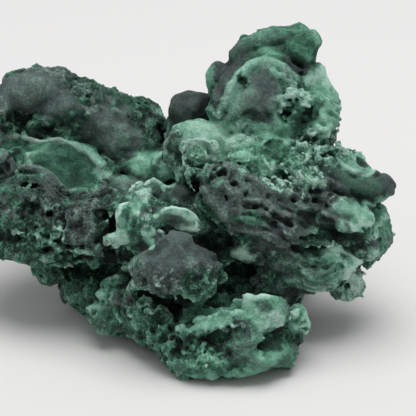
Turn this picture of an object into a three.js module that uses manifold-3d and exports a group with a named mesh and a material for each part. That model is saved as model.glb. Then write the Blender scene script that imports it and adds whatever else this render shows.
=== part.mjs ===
// A rough fibrous malachite specimen: one natural lump of copper mineral, grown as overlapping
// rounded lobes with hollows between them, standing on four small worn-flat feet.
//
// Units are millimetres. +X runs along the specimen's length, +Y from its front to its back, and
// +Z up. The origin is on the resting plane, under the centre of the specimen's bounding box.
import * as THREE from "three";
import { ImprovedNoise } from "three/addons/math/ImprovedNoise.js";
import { mergeVertices } from "three/addons/utils/BufferGeometryUtils.js";
import Module from "manifold-3d";

// Driving dimensions.
const FACET_SIZE = 5.0; // typical edge of a facet on a lobe
const LUMP_SIZE = 9; // wavelength of the broad lumps on every lobe
const LUMP_HEIGHT = 1.8; // how far those lumps stand in or out
const KNOB_SIZE = 3.6; // wavelength of the small knobs
const KNOB_HEIGHT = 0.8;
const TRIM_SIZE = 200; // side of the block that wears the feet flat
const MINERAL = { color: 0x2f6b4f, roughness: 0.85, metalness: 0 };

// Each lobe is a name, a centre, three radii, and a lean: degrees about the Y axis, which tips
// its long side down to the right where positive.
const LOBES = [
  // the front foot, which carries most of the weight
  ["foot_core", [11.5, -19.5, 6.5], [12, 10, 8.5], 0],
  ["foot_right", [16.5, -22, 3.6], [8, 8.5, 6.5], 6],
  ["foot_left", [4, -22, 4.2], [7.5, 7, 6], 0],
  ["foot_plate", [13, -22, 11], [9, 6, 3], -8],
  ["foot_tip", [22.5, -18, 6.5], [3.2, 5, 4.4], 20],
  ["waist", [18, -6, 11], [8.5, 9, 8], 0],
  ["boulder", [1, -17, 18.5], [8.5, 7.5, 7], 24],
  // the flank, which runs back and to the left to the second foot
  ["flank_front", [-4.5, -14, 6.5], [7.5, 8, 7], 30],
  ["flank_middle", [-11.5, -5.5, 7], [8.5, 9, 7], 20],
  ["flank_end", [-18, 3, 6], [7.5, 8, 6.5], 0],
  ["flank_fang", [-2, -21, 4], [2.8, 3.5, 5], -10],
  // the left arm, held clear of the resting plane
  ["arm_core", [-27, 3, 23], [15, 10.5, 8], 0],
  ["arm_end", [-37.5, 6, 22], [7.5, 9, 7.5], -15],
  ["arm_lip", [-27, -2, 18], [13, 7, 4], 0],
  ["arm_root", [-15, -3, 22], [8, 8, 7.5], 0],
  ["arm_drop", [-27, 4, 12], [4, 5, 6.5], 0],
  ["bowl_rim", [-24, 9.5, 29.5], [13, 5, 6.5], 12],
  // the middle
  ["heart", [3, 1, 16], [16, 15, 12], 0],
  ["saddle", [-3, 6, 22], [12, 10, 6], 0],
  ["curls", [-6, -9, 25.5], [7.5, 6.5, 5.5], 10],
  ["teeth", [-2, 1, 26.5], [6, 4, 3], 0],
  // the right mass, an overhanging shelf
  ["shelf_core", [22, -2, 22.5], [16.5, 13, 11], 10],
  ["shelf_ridge", [14, -8, 29], [11.5, 7, 5.5], 38],
  ["shelf_top", [29, 0, 33], [9, 8, 4.2], 25],
  ["shelf_low", [27, -6, 15.5], [10, 9, 5], -4],
  ["shelf_end", [38, 0, 20.5], [5.6, 9, 8.5], -6],
  ["shelf_corner", [34, -5, 12.5], [4.4, 5.5, 5.8], -15],
  ["nose", [36.5, -1, 30.5], [7, 6, 3.6], 12],
  ["tongue", [33, -8, 25.5], [7.5, 6, 4], 22],
  // the domes and the pinnacle above the right mass
  ["dome_left", [4, 6, 33.5], [7.5, 7, 6.5], 0],
  ["dome_right", [12, 5, 33.5], [6, 5.5, 4.5], 0],
  ["neck", [18, 7, 30], [13, 12, 10], 0],
  ["pinnacle_core", [18, 13, 41], [11.5, 9, 13], 0],
  ["pinnacle_back", [12.5, 17, 45.5], [5.2, 6, 9.5], 26],
  ["pinnacle_top", [20, 18, 53], [9.5, 6, 4.5], -14],
  ["pinnacle_block", [25, 18.5, 53], [4.2, 5, 5.5], 0],
  ["pinnacle_face", [13, 9, 43.5], [6.5, 5, 8.5], 0],
  ["pinnacle_right", [28, 10, 39.5], [5.2, 7, 8.5], 4],
  // the back ridge, and what closes the far side
  ["ridge_core", [-23, 23, 33], [17, 9, 11], 8],
  ["ridge_top", [-30, 24, 41.5], [8.5, 6.5, 6], 10],
  ["ridge_left", [-36, 21, 32], [7, 8, 9], -20],
  ["ridge_right", [-9, 22, 32.5], [7.5, 7, 8], 0],
  ["ridge_low", [-14, 18, 23], [16, 10, 8], 0],
  ["dark_dome", [2.5, 18, 35], [5.5, 6, 7.5], 0],
  ["far_wall", [6, 17, 20], [21, 11, 13], 0],
  ["far_foot", [22, 15, 8], [8, 9, 9.5], 0],
  ["far_knee", [-6, 19, 9], [8, 8, 10], 0],
];

// Hollows cut into the lobes, in the same form.
const HOLLOWS = [
  ["bowl", [-22.5, 0, 34.5], [10.5, 9, 7], 18],
  ["under_arm", [-18, -4, 12], [9, 8, 3.4], 0],
  ["boulder_gap", [9, -15, 14.5], [9, 7, 2.6], 14],
  ["curl_gap", [-12, -9, 20], [2.5, 4, 4], 15],
  ["shelf_slot", [28, -12, 21.5], [6, 6, 1.8], 12],
  ["nose_slot", [36, -6, 28.2], [5.5, 5, 1.4], 12],
  ["pit", [24.5, 4, 45.5], [4.8, 6, 4.6], 0],
  ["shelf_notch", [36, 6, 37.5], [5, 9, 2.6], 0],
  ["corner_notch", [29, -6, 10], [2.2, 8, 3], 10],
  ["far_pocket", [6, 29, 27], [7, 5, 4], 15],
  ["ridge_pocket", [-27, 31, 30], [6, 4, 5], 0],
];

const wasm = await Module();
wasm.setup();
const noise = new ImprovedNoise();

// Noise of one wavelength at a point, from -1 to 1. The shift keeps the noise's grid off the axes.
function bumps(point, size, shift) {
  return noise.noise(point.x / size + shift, point.y / size - shift, point.z / size + 2 * shift);
}

// A closed, lumpy ellipsoid. Its facets are about FACET_SIZE across whatever its radii.
function lumpyEllipsoid([, centre, radii, lean]) {
  const middleRadius = Math.cbrt(radii[0] * radii[1] * radii[2]);
  const detail = Math.max(1, Math.round(middleRadius / FACET_SIZE));
  const geometry = new THREE.IcosahedronGeometry(1, detail);
  geometry.deleteAttribute("normal");
  geometry.deleteAttribute("uv");
  geometry.scale(...radii);
  geometry.rotateY(THREE.MathUtils.degToRad(lean));
  const position = geometry.getAttribute("position");
  const middle = new THREE.Vector3(...centre);
  const point = new THREE.Vector3();
  for (let i = 0; i < position.count; i++) {
    point.fromBufferAttribute(position, i);
    const outward = point.clone().normalize();
    point.add(middle);
    const height = LUMP_HEIGHT * bumps(point, LUMP_SIZE, 0.37) + KNOB_HEIGHT * bumps(point, KNOB_SIZE, 5.21);
    point.addScaledVector(outward, height);
    position.setXYZ(i, point.x, point.y, point.z);
  }
  return mergeVertices(geometry, 1e-4);
}

function toSolid(geometry) {
  return new wasm.Manifold(
    new wasm.Mesh({
      numProp: 3,
      vertProperties: new Float32Array(geometry.getAttribute("position").array),
      triVerts: new Uint32Array(geometry.index.array),
    }),
  );
}

function toGeometry(solid) {
  const mesh = solid.getMesh();
  return new THREE.BufferGeometry()
    .setAttribute("position", new THREE.BufferAttribute(mesh.vertProperties, mesh.numProp))
    .setIndex(new THREE.BufferAttribute(mesh.triVerts, 1));
}

// The block under the resting plane, which wears the lowest lobes into flat feet.
function restingTrim() {
  const block = new THREE.BoxGeometry(TRIM_SIZE, TRIM_SIZE, TRIM_SIZE);
  block.deleteAttribute("normal");
  block.deleteAttribute("uv");
  block.translate(0, 0, -TRIM_SIZE / 2);
  return toSolid(mergeVertices(block));
}

// The whole specimen: lobes joined, hollows and the resting plane cut, and the largest body kept.
function specimenGeometry() {
  const lobes = LOBES.map((lobe) => toSolid(lumpyEllipsoid(lobe)));
  let specimen = lobes.reduce((joined, lobe) => joined.add(lobe));
  for (const hollow of HOLLOWS) specimen = specimen.subtract(toSolid(lumpyEllipsoid(hollow)));
  specimen = specimen.subtract(restingTrim());
  const bodies = specimen.decompose().sort((a, b) => b.volume() - a.volume());
  const geometry = toGeometry(bodies[0]);
  geometry.computeBoundingBox();
  const middle = geometry.boundingBox.getCenter(new THREE.Vector3());
  return geometry.translate(-middle.x, -middle.y, 0);
}

const specimen = new THREE.Mesh(specimenGeometry(), new THREE.MeshStandardMaterial(MINERAL));
specimen.name = "malachite";

const part = new THREE.Group();
part.add(specimen);

export default part;
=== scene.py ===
"""A rough malachite specimen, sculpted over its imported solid. Sculpting is in millimetres, on a
grid of distances to the surface; meshes are turned into metres when they are made."""
import math

import bpy
import numpy as np
import openvdb
from mathutils import Matrix, Vector


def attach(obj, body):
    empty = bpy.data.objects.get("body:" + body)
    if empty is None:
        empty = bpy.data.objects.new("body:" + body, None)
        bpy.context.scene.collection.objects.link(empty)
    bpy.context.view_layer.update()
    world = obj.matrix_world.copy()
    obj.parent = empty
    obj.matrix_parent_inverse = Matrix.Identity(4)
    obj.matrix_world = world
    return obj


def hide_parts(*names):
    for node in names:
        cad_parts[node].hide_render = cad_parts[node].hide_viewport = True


MM = 0.001
VOXEL = 0.25  # side of a cell of the sculpting grid
BAND = 2.4  # distances are held this far each way from the surface
MARGIN = 10  # cells of air round the solid
TILE = 192  # cells along a side of a repeating block of noise
MOST = 190_000  # triangles of a piece seen up close
FEWER = 105_000  # and of one at the back
SIGHT = (0.0, 0.9135, -0.4067)  # the camera's direction
REACH = 8.0  # how far in front of the surface a sliding point may start

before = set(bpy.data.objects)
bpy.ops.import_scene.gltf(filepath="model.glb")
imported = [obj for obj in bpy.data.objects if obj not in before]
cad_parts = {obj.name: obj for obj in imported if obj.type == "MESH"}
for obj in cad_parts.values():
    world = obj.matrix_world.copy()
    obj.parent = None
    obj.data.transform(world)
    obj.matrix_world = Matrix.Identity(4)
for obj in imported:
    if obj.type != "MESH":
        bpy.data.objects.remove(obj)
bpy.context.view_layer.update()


# ---------------------------------------------------------------- the clay


def frame_mesh(name):
    """A CAD node's vertices in millimetres, and its triangles."""
    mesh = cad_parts[name].data
    mesh.calc_loop_triangles()
    points = np.empty(len(mesh.vertices) * 3, np.float32)
    mesh.vertices.foreach_get("co", points)
    corners = np.empty(len(mesh.loop_triangles) * 3, np.int32)
    mesh.loop_triangles.foreach_get("vertices", corners)
    points = np.round(points.reshape(-1, 3) / MM, 4)
    merged, index = np.unique(points, axis=0, return_inverse=True)
    return merged.astype(np.float32), index.reshape(-1)[corners].reshape(-1, 3).astype(np.uint32)


def turning(lean=0.0, turn=0.0):
    """Rotation matrix: lean about Y (right end down), then turn about Z."""
    b, c = math.radians(lean), math.radians(turn)
    about_y = np.array([[math.cos(b), 0, math.sin(b)], [0, 1, 0], [-math.sin(b), 0, math.cos(b)]])
    about_z = np.array([[math.cos(c), -math.sin(c), 0], [math.sin(c), math.cos(c), 0], [0, 0, 1]])
    return about_z @ about_y


def turned(x, y, z, centre, rotation):
    """Coordinates seen from a centre and along a rotation's axes."""
    dx, dy, dz = x - centre[0], y - centre[1], z - centre[2]
    return [rotation[0, i] * dx + rotation[1, i] * dy + rotation[2, i] * dz for i in range(3)]


def ellipsoid_distance(x, y, z, centre, radii, rotation):
    """About the distance from points to an ellipsoid."""
    local = turned(x, y, z, centre, rotation)
    near = np.sqrt(sum((p / r) ** 2 for p, r in zip(local, radii)) + 1e-9)
    slope = np.sqrt(sum((p / (r * r)) ** 2 for p, r in zip(local, radii)) + 1e-9)
    return near * (near - 1) / slope


def strand_distance(x, y, z, points, radii):
    """Distance from points to a chain of tapering rods."""
    best = None
    for (a, ra), (b, rb) in zip(zip(points, radii), zip(points[1:], radii[1:])):
        along = np.subtract(b, a)
        length2 = float(along @ along) + 1e-9
        t = ((x - a[0]) * along[0] + (y - a[1]) * along[1] + (z - a[2]) * along[2]) / length2
        t = np.clip(t, 0, 1)
        away = [p - a[i] - t * along[i] for i, p in enumerate((x, y, z))]
        gap = np.sqrt(away[0] ** 2 + away[1] ** 2 + away[2] ** 2) - (ra + (rb - ra) * t)
        best = gap if best is None else np.minimum(best, gap)
    return best


def soft_min(a, b, k):
    return np.minimum(a, b) - np.maximum(k - np.abs(a - b), 0) ** 2 / (4 * k)


def smooth_step(low, high, v):
    t = np.clip((v - low) / (high - low), 0, 1)
    return t * t * (3 - 2 * t)


class Clay:
    """Distances to the surface on a grid, negative inside, with stamps that add or carve."""

    def __init__(self, points, triangles):
        self.transform = openvdb.createLinearTransform(voxelSize=VOXEL)
        solid = openvdb.FloatGrid.createLevelSetFromPolygons(
            points, triangles=triangles, transform=self.transform, halfWidth=BAND / VOXEL)
        self.low = np.floor(points.min(0) / VOXEL).astype(int) - MARGIN
        high = np.ceil(points.max(0) / VOXEL).astype(int) + MARGIN
        self.d = np.empty(high - self.low + 1, np.float32)
        solid.copyToArray(self.d, ijk=tuple(int(v) for v in self.low))
        self.axes = [((low + np.arange(n)) * VOXEL).astype(np.float32)
                     for low, n in zip(self.low, self.d.shape)]
        self.paints = []

    def block(self, low, high):
        """The slices of the grid that hold a box, and their coordinates as open arrays."""
        cuts = []
        for i in range(3):
            a = int(np.clip(math.floor(low[i] / VOXEL) - self.low[i], 0, self.d.shape[i] - 1))
            b = int(np.clip(math.ceil(high[i] / VOXEL) - self.low[i] + 1, a + 1, self.d.shape[i]))
            cuts.append(slice(a, b))
        x, y, z = (self.axes[i][cuts[i]] for i in range(3))
        return tuple(cuts), x[:, None, None], y[None, :, None], z[None, None, :]

    def at(self, points, field=None):
        """A grid field's value at points, by linear interpolation."""
        field = self.d if field is None else field
        place = np.asarray(points, np.float64) / VOXEL - self.low
        place = np.clip(place, 0, np.array(field.shape) - 1.001)
        cell = place.astype(int)
        part = place - cell
        total = np.zeros(len(place))
        for corner in range(8):
            step = np.array([corner >> 2 & 1, corner >> 1 & 1, corner & 1])
            weight = np.prod(np.where(step, part, 1 - part), axis=1)
            index = cell + step
            total += weight * field[index[:, 0], index[:, 1], index[:, 2]]
        return total

    def slope(self, points, reach=0.6):
        """The outward direction at points."""
        out = np.empty((len(points), 3))
        for i in range(3):
            step = np.zeros(3)
            step[i] = reach
            out[:, i] = self.at(points + step) - self.at(points - step)
        return out / (np.linalg.norm(out, axis=1, keepdims=True) + 1e-9)

    def snap(self, points, lift=0.0):
        """Points moved to the surface, then out by lift."""
        points = np.array(points, float).reshape(-1, 3)
        for _ in range(12):
            points -= self.slope(points) * np.clip(self.at(points), -1.5, 1.5)[:, None] * 0.8
        return points + self.slope(points) * lift

    def put(self, cuts, shape, blend, carve):
        here = self.d[cuts]
        if carve:
            self.d[cuts] = -soft_min(-here, shape, blend)
        else:
            self.d[cuts] = soft_min(here, shape, blend)

    def blob(self, at, radii, tone=None, grey=None, lean=0, turn=0, blend=0.8, carve=False, soft=0.3):
        """An ellipsoid, added or carved. Tone runs from dark to light, and grey from green to slate."""
        at = np.array(at, float)
        rotation = turning(lean, turn)
        reach = np.sqrt(((rotation * np.array(radii)) ** 2).sum(1)) + BAND
        cuts, x, y, z = self.block(at - reach, at + reach)
        self.put(cuts, ellipsoid_distance(x, y, z, at, radii, rotation).astype(np.float32), blend, carve)
        if tone is not None:
            self.paints.append(("blob", at, np.array(radii) + 0.25, rotation, tone, grey, soft, 1.0))

    def carve(self, at, radii, *colour, **more):
        self.blob(at, radii, *colour, carve=True, **more)

    def strand(self, points, radii, tone=None, grey=None, blend=0.5, carve=False, snap=None, smooth=True):
        """A tapering rod along points, added or carved. snap lays it on the surface, lifted by that."""
        points = np.array(points, float)
        if snap is not None:
            points = self.snap(points, snap)
        radii = np.broadcast_to(np.array(radii, float), len(points)).copy()
        if smooth and len(points) > 2:
            points, radii = rounded(points, radii)
        reach = radii.max() + BAND * 0.7
        cuts, x, y, z = self.block(points.min(0) - reach, points.max(0) + reach)
        self.put(cuts, strand_distance(x, y, z, points, radii).astype(np.float32), blend, carve)
        if tone is not None:
            self.paints.append(("strand", points, radii + 0.2, None, tone, grey, 0.3, 1.0))

    def paint(self, at, radii, tone, grey, lean=0, turn=0, soft=0.35, strength=1.0):
        """Colour alone, in an ellipsoid."""
        at, radii = np.array(at, float), np.array(radii, float)
        self.paints.append(("blob", at, radii, turning(lean, turn), tone, grey, soft, strength))

    def slide(self, points):
        """Points moved along the line of sight until they meet the surface."""
        step = np.array(SIGHT) * VOXEL
        points = np.array(points, float).reshape(-1, 3) - step * (REACH / VOXEL)
        for _ in range(int(2 * REACH / VOXEL)):
            points = np.where(self.at(points)[:, None] > 0, points + step, points)
        return points

    def line(self, points, radius, tone, grey, soft=0.4, snap=True):
        """Colour alone, along a line on the surface."""
        points = self.snap(points) if snap else self.slide(points)
        radii = np.full(len(points), float(radius))
        if len(points) > 2:
            points, radii = rounded(points, radii)
        self.paints.append(("strand", points, radii, None, tone, grey, soft, 1.0))


def rounded(points, radii, steps=4):
    """A smooth curve through points, with the radii carried along it."""
    full = np.column_stack([points, radii])
    ends = np.vstack([2 * full[0] - full[1], full, 2 * full[-1] - full[-2]])
    out = []
    for a, b, c, d in zip(ends, ends[1:], ends[2:], ends[3:]):
        square, cube = 2 * a - 5 * b + 4 * c - d, 3 * b - a - 3 * c + d
        for t in np.arange(steps) / steps:
            out.append(0.5 * (2 * b + (c - a) * t + square * t**2 + cube * t**3))
    out.append(full[-1])
    out = np.array(out)
    return out[:, :3], out[:, 3]


def noise_tile(seed, wavelength, spread=0.4, along=None, stretch=1.0):
    """A repeating block of noise of one wavelength, mean 0 and deviation 1. Stretch draws its lumps
    out along a direction."""
    rng = np.random.default_rng(seed)
    wave = np.fft.rfftn(rng.standard_normal((TILE, TILE, TILE), dtype=np.float32))
    kx = np.fft.fftfreq(TILE, VOXEL)[:, None, None]
    ky = np.fft.fftfreq(TILE, VOXEL)[None, :, None]
    kz = np.fft.rfftfreq(TILE, VOXEL)[None, None, :]
    k2 = kx * kx + ky * ky + kz * kz
    if along is not None:
        u = np.array(along, float) / np.linalg.norm(along)
        k2 = k2 + (stretch**2 - 1) * (kx * u[0] + ky * u[1] + kz * u[2]) ** 2
    band = np.exp(-((0.5 * np.log(k2 * wavelength**2 + 1e-12) / spread) ** 2))
    made = np.fft.irfftn(wave * band, s=(TILE, TILE, TILE)).astype(np.float32)
    return made / made.std()


# The functions from here on work on the one block of clay that this script makes.


def spread_tile(tile, shift=0):
    """A tile repeated over the whole grid."""
    index = [(np.arange(n) + shift * (i + 1)) % TILE for i, n in enumerate(clay.d.shape)]
    return tile[np.ix_(*index)]


def tile_at(tile, points, shift=0):
    """A tile's value at points."""
    index = np.round(np.asarray(points) / VOXEL - clay.low).astype(int) + shift * np.arange(1, 4)
    index %= TILE
    return tile[index[:, 0], index[:, 1], index[:, 2]]


def box_blur(field, cells, passes=2):
    """A running mean over a cube, a few times over."""
    out = field
    for _ in range(passes):
        for axis in range(3):
            pad = [(cells // 2 + 1, cells // 2) if i == axis else (0, 0) for i in range(3)]
            total = np.cumsum(np.pad(out, pad, mode="edge"), axis=axis, dtype=np.float32)
            n = out.shape[axis]
            high = np.take(total, range(cells, cells + n), axis=axis)
            out = (high - np.take(total, range(0, n), axis=axis)) / cells
    return out


def zone(shapes, soft=0.3):
    """A field that is 1 inside any of some ellipsoids (centre, radii) and fades to 0 outside."""
    field = np.zeros(clay.d.shape, np.float32)
    for at, radii, *lean in shapes:
        rotation = turning(*lean)
        reach = np.sqrt(((rotation * np.array(radii)) ** 2).sum(1)) * (1 + soft)
        cuts, x, y, z = clay.block(np.array(at) - reach, np.array(at) + reach)
        local = turned(x, y, z, at, rotation)
        q = np.sqrt(sum((p / r) ** 2 for p, r in zip(local, radii)))
        field[cuts] = np.maximum(field[cuts], 1 - smooth_step(1 - soft, 1 + soft, q))
    return field


def frill(points, radius, tone, grey, wave=1.6, swing=0.45, seed=1, lift=0.2, **more):
    """A wavy edge along points of the surface."""
    rng = np.random.default_rng(seed)
    path = clay.snap(points)
    path, _ = rounded(path, np.zeros(len(path)), 6)
    gaps = np.linalg.norm(np.diff(path, axis=0), axis=1)
    run = np.concatenate([[0], np.cumsum(gaps)])
    spots = np.arange(0, run[-1] + 0.01, 0.45)
    path = np.column_stack([np.interp(spots, run, path[:, i]) for i in range(3)])
    out = clay.slope(path, 1.0)
    ahead = np.gradient(path, axis=0)
    across = np.cross(out, ahead)
    across /= np.linalg.norm(across, axis=1, keepdims=True) + 1e-9
    phase = np.cumsum(rng.uniform(0.6, 1.4, len(spots))) * 0.45 * 2 * math.pi / wave
    path = path + across * (np.sin(phase) * swing)[:, None]
    path = path + out * (lift + 0.5 * swing * np.sin(phase * 0.63 + 1))[:, None]
    radii = radius * rng.uniform(0.7, 1.25, len(path))
    clay.strand(path, radii, tone, grey, smooth=False, **more)


def ring(at, radius, thick, tone, grey, lift=0.0):
    """A loop lying on the surface."""
    centre = clay.snap(at)[0]
    out = clay.slope(centre[None], 1.2)[0]
    side = np.cross((0.0, 0.0, 1.0), out)
    side /= np.linalg.norm(side) + 1e-9
    up = np.cross(out, side)
    angles = np.radians(np.linspace(0, 360, 13))
    path = [centre + out * lift + radius * (side * math.cos(a) + up * math.sin(a)) for a in angles]
    clay.strand(path, thick, tone, grey)


def scattered(at, radii, count, seed, lean=0.0):
    """Points strewn over the surface inside an ellipsoid."""
    rng = np.random.default_rng(seed)
    offsets = rng.normal(size=(count, 3))
    offsets *= (rng.uniform(0, 1, (count, 1)) ** (1 / 3)) / np.linalg.norm(offsets, axis=1, keepdims=True)
    points = np.array(at, float) + (offsets * np.array(radii, float)) @ turning(lean).T
    points = clay.snap(points)
    return points[np.abs(clay.at(points)) < 0.3]


def crumbs(at, radii, count, seed, size, curl=0.9, tone=(0.7, 1.0), grey=0.0):
    """Small curled crystals strewn over the surface."""
    rng = np.random.default_rng(seed + 100)
    for p in scattered(at, radii, count, seed):
        out = clay.slope(p[None])[0]
        a, b = rng.normal(size=(2, 3))
        a -= out * (a @ out) * 0.7
        a /= np.linalg.norm(a)
        b /= np.linalg.norm(b)
        r = rng.uniform(*size)
        reach = curl * rng.uniform(0.5, 1.3)
        path = [p - a * reach, p + out * reach * 0.5 + b * reach * 0.3, p + a * reach]
        clay.strand(path, (r * 0.7, r, r * 0.7), rng.uniform(*tone), grey, blend=0.2)


def mottles(at, radii, count, seed, size, tones, greys, lean=0.0):
    """Patches of colour strewn over the surface."""
    rng = np.random.default_rng(seed + 300)
    for p in scattered(at, radii, count, seed, lean):
        pick = rng.integers(len(tones))
        clay.paint(p, rng.uniform(*size, 3), tones[pick], greys[pick], turn=rng.uniform(0, 180), soft=0.5,
                   strength=rng.uniform(0.5, 1.0))


def pits(spots, size, tone=0.05, lip=None, lip_tone=0.5, lip_grey=0.5):
    """Small round holes in the surface, with or without a raised lip. Tone paints the hole, dark by
    default: painted shade.
    """
    for spot in spots:
        p = clay.snap(spot)[0]
        out = clay.slope(p[None], 0.9)[0]
        if lip:
            ring(p, size * 1.15, lip, lip_tone, lip_grey)
        clay.strand([p + out * size * 0.6, p - out * size * 1.5], (size, size * 0.55), tone, blend=0.25,
                    carve=True, smooth=False)


def knobs_on(at, radii, count, seed, size, tone, grey):
    """Rounded knobs strewn over the surface, sunk a little into it."""
    rng = np.random.default_rng(seed + 200)
    for p in scattered(at, radii, count, seed):
        r = rng.uniform(*size)
        shape = r * rng.uniform(0.75, 1.25, 3)
        clay.blob(p + clay.slope(p[None])[0] * -0.2 * r, shape, turn=rng.uniform(0, 90), blend=0.4,
                  tone=rng.uniform(*tone), grey=grey)


# ---------------------------------------------------------------- the shape

clay = Clay(*frame_mesh("malachite"))
clay.d = box_blur(clay.d, 3)
blob, carve, strand, paint, line = clay.blob, clay.carve, clay.strand, clay.paint, clay.line

# A call gives a place or a path, its radii, then tone (0 dark to 1 light) and grey (0 green to 1
# slate). Later calls go over earlier ones, so their order matters.

# big additions and hollows that the lobes lack
carve((-22.5, 4.3, 35.6), (8, 4.6, 8))  # the bowl
carve((-31, 8.5, 38.5), (7, 5, 4.5))  # and its shallow left end
carve((-33, 5.4, 34.2), (2, 2.4, 2), blend=0.5)  # the notch
blob((0.1, -18, 25), (3.4, 3, 2.4), lean=-20, blend=1.5)  # the boulder's top
blob((15, -24.5, 13.6), (2, 1.6, 3), blend=0.6)  # the standing plate on the foot
blob((18.8, -25, 13), (3.8, 1.7, 4.2), lean=28)
blob((24.2, -21, 10), (2.2, 2.6, 3), lean=30)  # its right tip
blob((35.5, -0.5, 34.4), (5.2, 4, 2.6), lean=32, blend=1)  # the plate above the nose
blob((32, -10.5, 19.5), (3.6, 2.4, 2), lean=15)  # the pale lip under the tongue
carve((8, -11.5, 21.7), (4.4, 3.2, 2.8), lean=20, blend=1)  # the black hollow beside the boulder
carve((13, -10.5, 15.8), (4, 3, 2.2))
carve((28.5, -12.6, 28), (3.9, 3, 1.3), lean=18, blend=0.6)  # slots under the crust
carve((28.9, -14.2, 24.4), (4.5, 2.4, 0.8), lean=5, blend=0.5)
carve((38.1, -7.8, 29.8), (4, 3, 0.9), lean=10, blend=0.5)
carve((35.5, -9, 21.4), (3.8, 2.4, 2), lean=10)
carve((-13.1, -10, 25.3), (2.2, 4.2, 2.7), lean=20, blend=0.6)  # the cleft left of the curls
carve((-29.6, -6.4, 27.2), (2.6, 3, 1.5), lean=15, blend=0.5)
carve((-17, -9.8, 16.6), (6.5, 3.8, 2.2), lean=3, blend=0.6)  # the recess under the arm
carve((-4.6, -20, 14), (4.5, 4, 2), lean=20)  # under the boulder
carve((9.5, -19, 13.5), (5, 4.5, 2.2))
carve((-0.6, -22, 14), (4.4, 4, 2.2), lean=-12)
carve((10, -18.2, 24.4), (3.2, 4, 2.6), lean=35)
carve((9.8, -23, 18.6), (2, 4, 3.4), blend=0.6)
carve((31.4, -13, 25.2), (3, 3, 1.5), lean=18, blend=0.4)
carve((7.4, -28.6, 9.2), (3, 2.6, 1), lean=-4, blend=0.4)  # the foot's hollows
carve((1.1, -28.2, 6.2), (1.6, 2.2, 1.4), blend=0.4)
carve((19.4, -28, 8.2), (4, 2, 1.6), blend=0.6)
carve((20.4, -27, 9), (4, 2.4, 1.7), lean=-8)
carve((16.2, 3.2, 43.2), (3.4, 1.9, 1.6), blend=0.9)  # the pinnacle's hollows
blob((25.2, 7.6, 44.4), (3.2, 1.8, 2.8))
carve((-4.4, 20, 42), (5, 11, 3), lean=40, blend=1.2)
carve((20.4, -0.6, 38.9), (2.6, 2.4, 0.8), lean=-8, blend=0.4)
blob((28, 13, 47.6), (3.2, 3, 4), blend=1.4)
blob((30.2, 12, 45), (3, 3, 3.4), blend=1.2)
blob((8.8, 14, 47.6), (2.8, 3, 4), blend=1.4)
blob((14, 14, 52.8), (2.8, 3, 3.2), blend=1.4)
blob((28, 13.6, 56.4), (2, 2, 2.3), blend=1.2)

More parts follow.
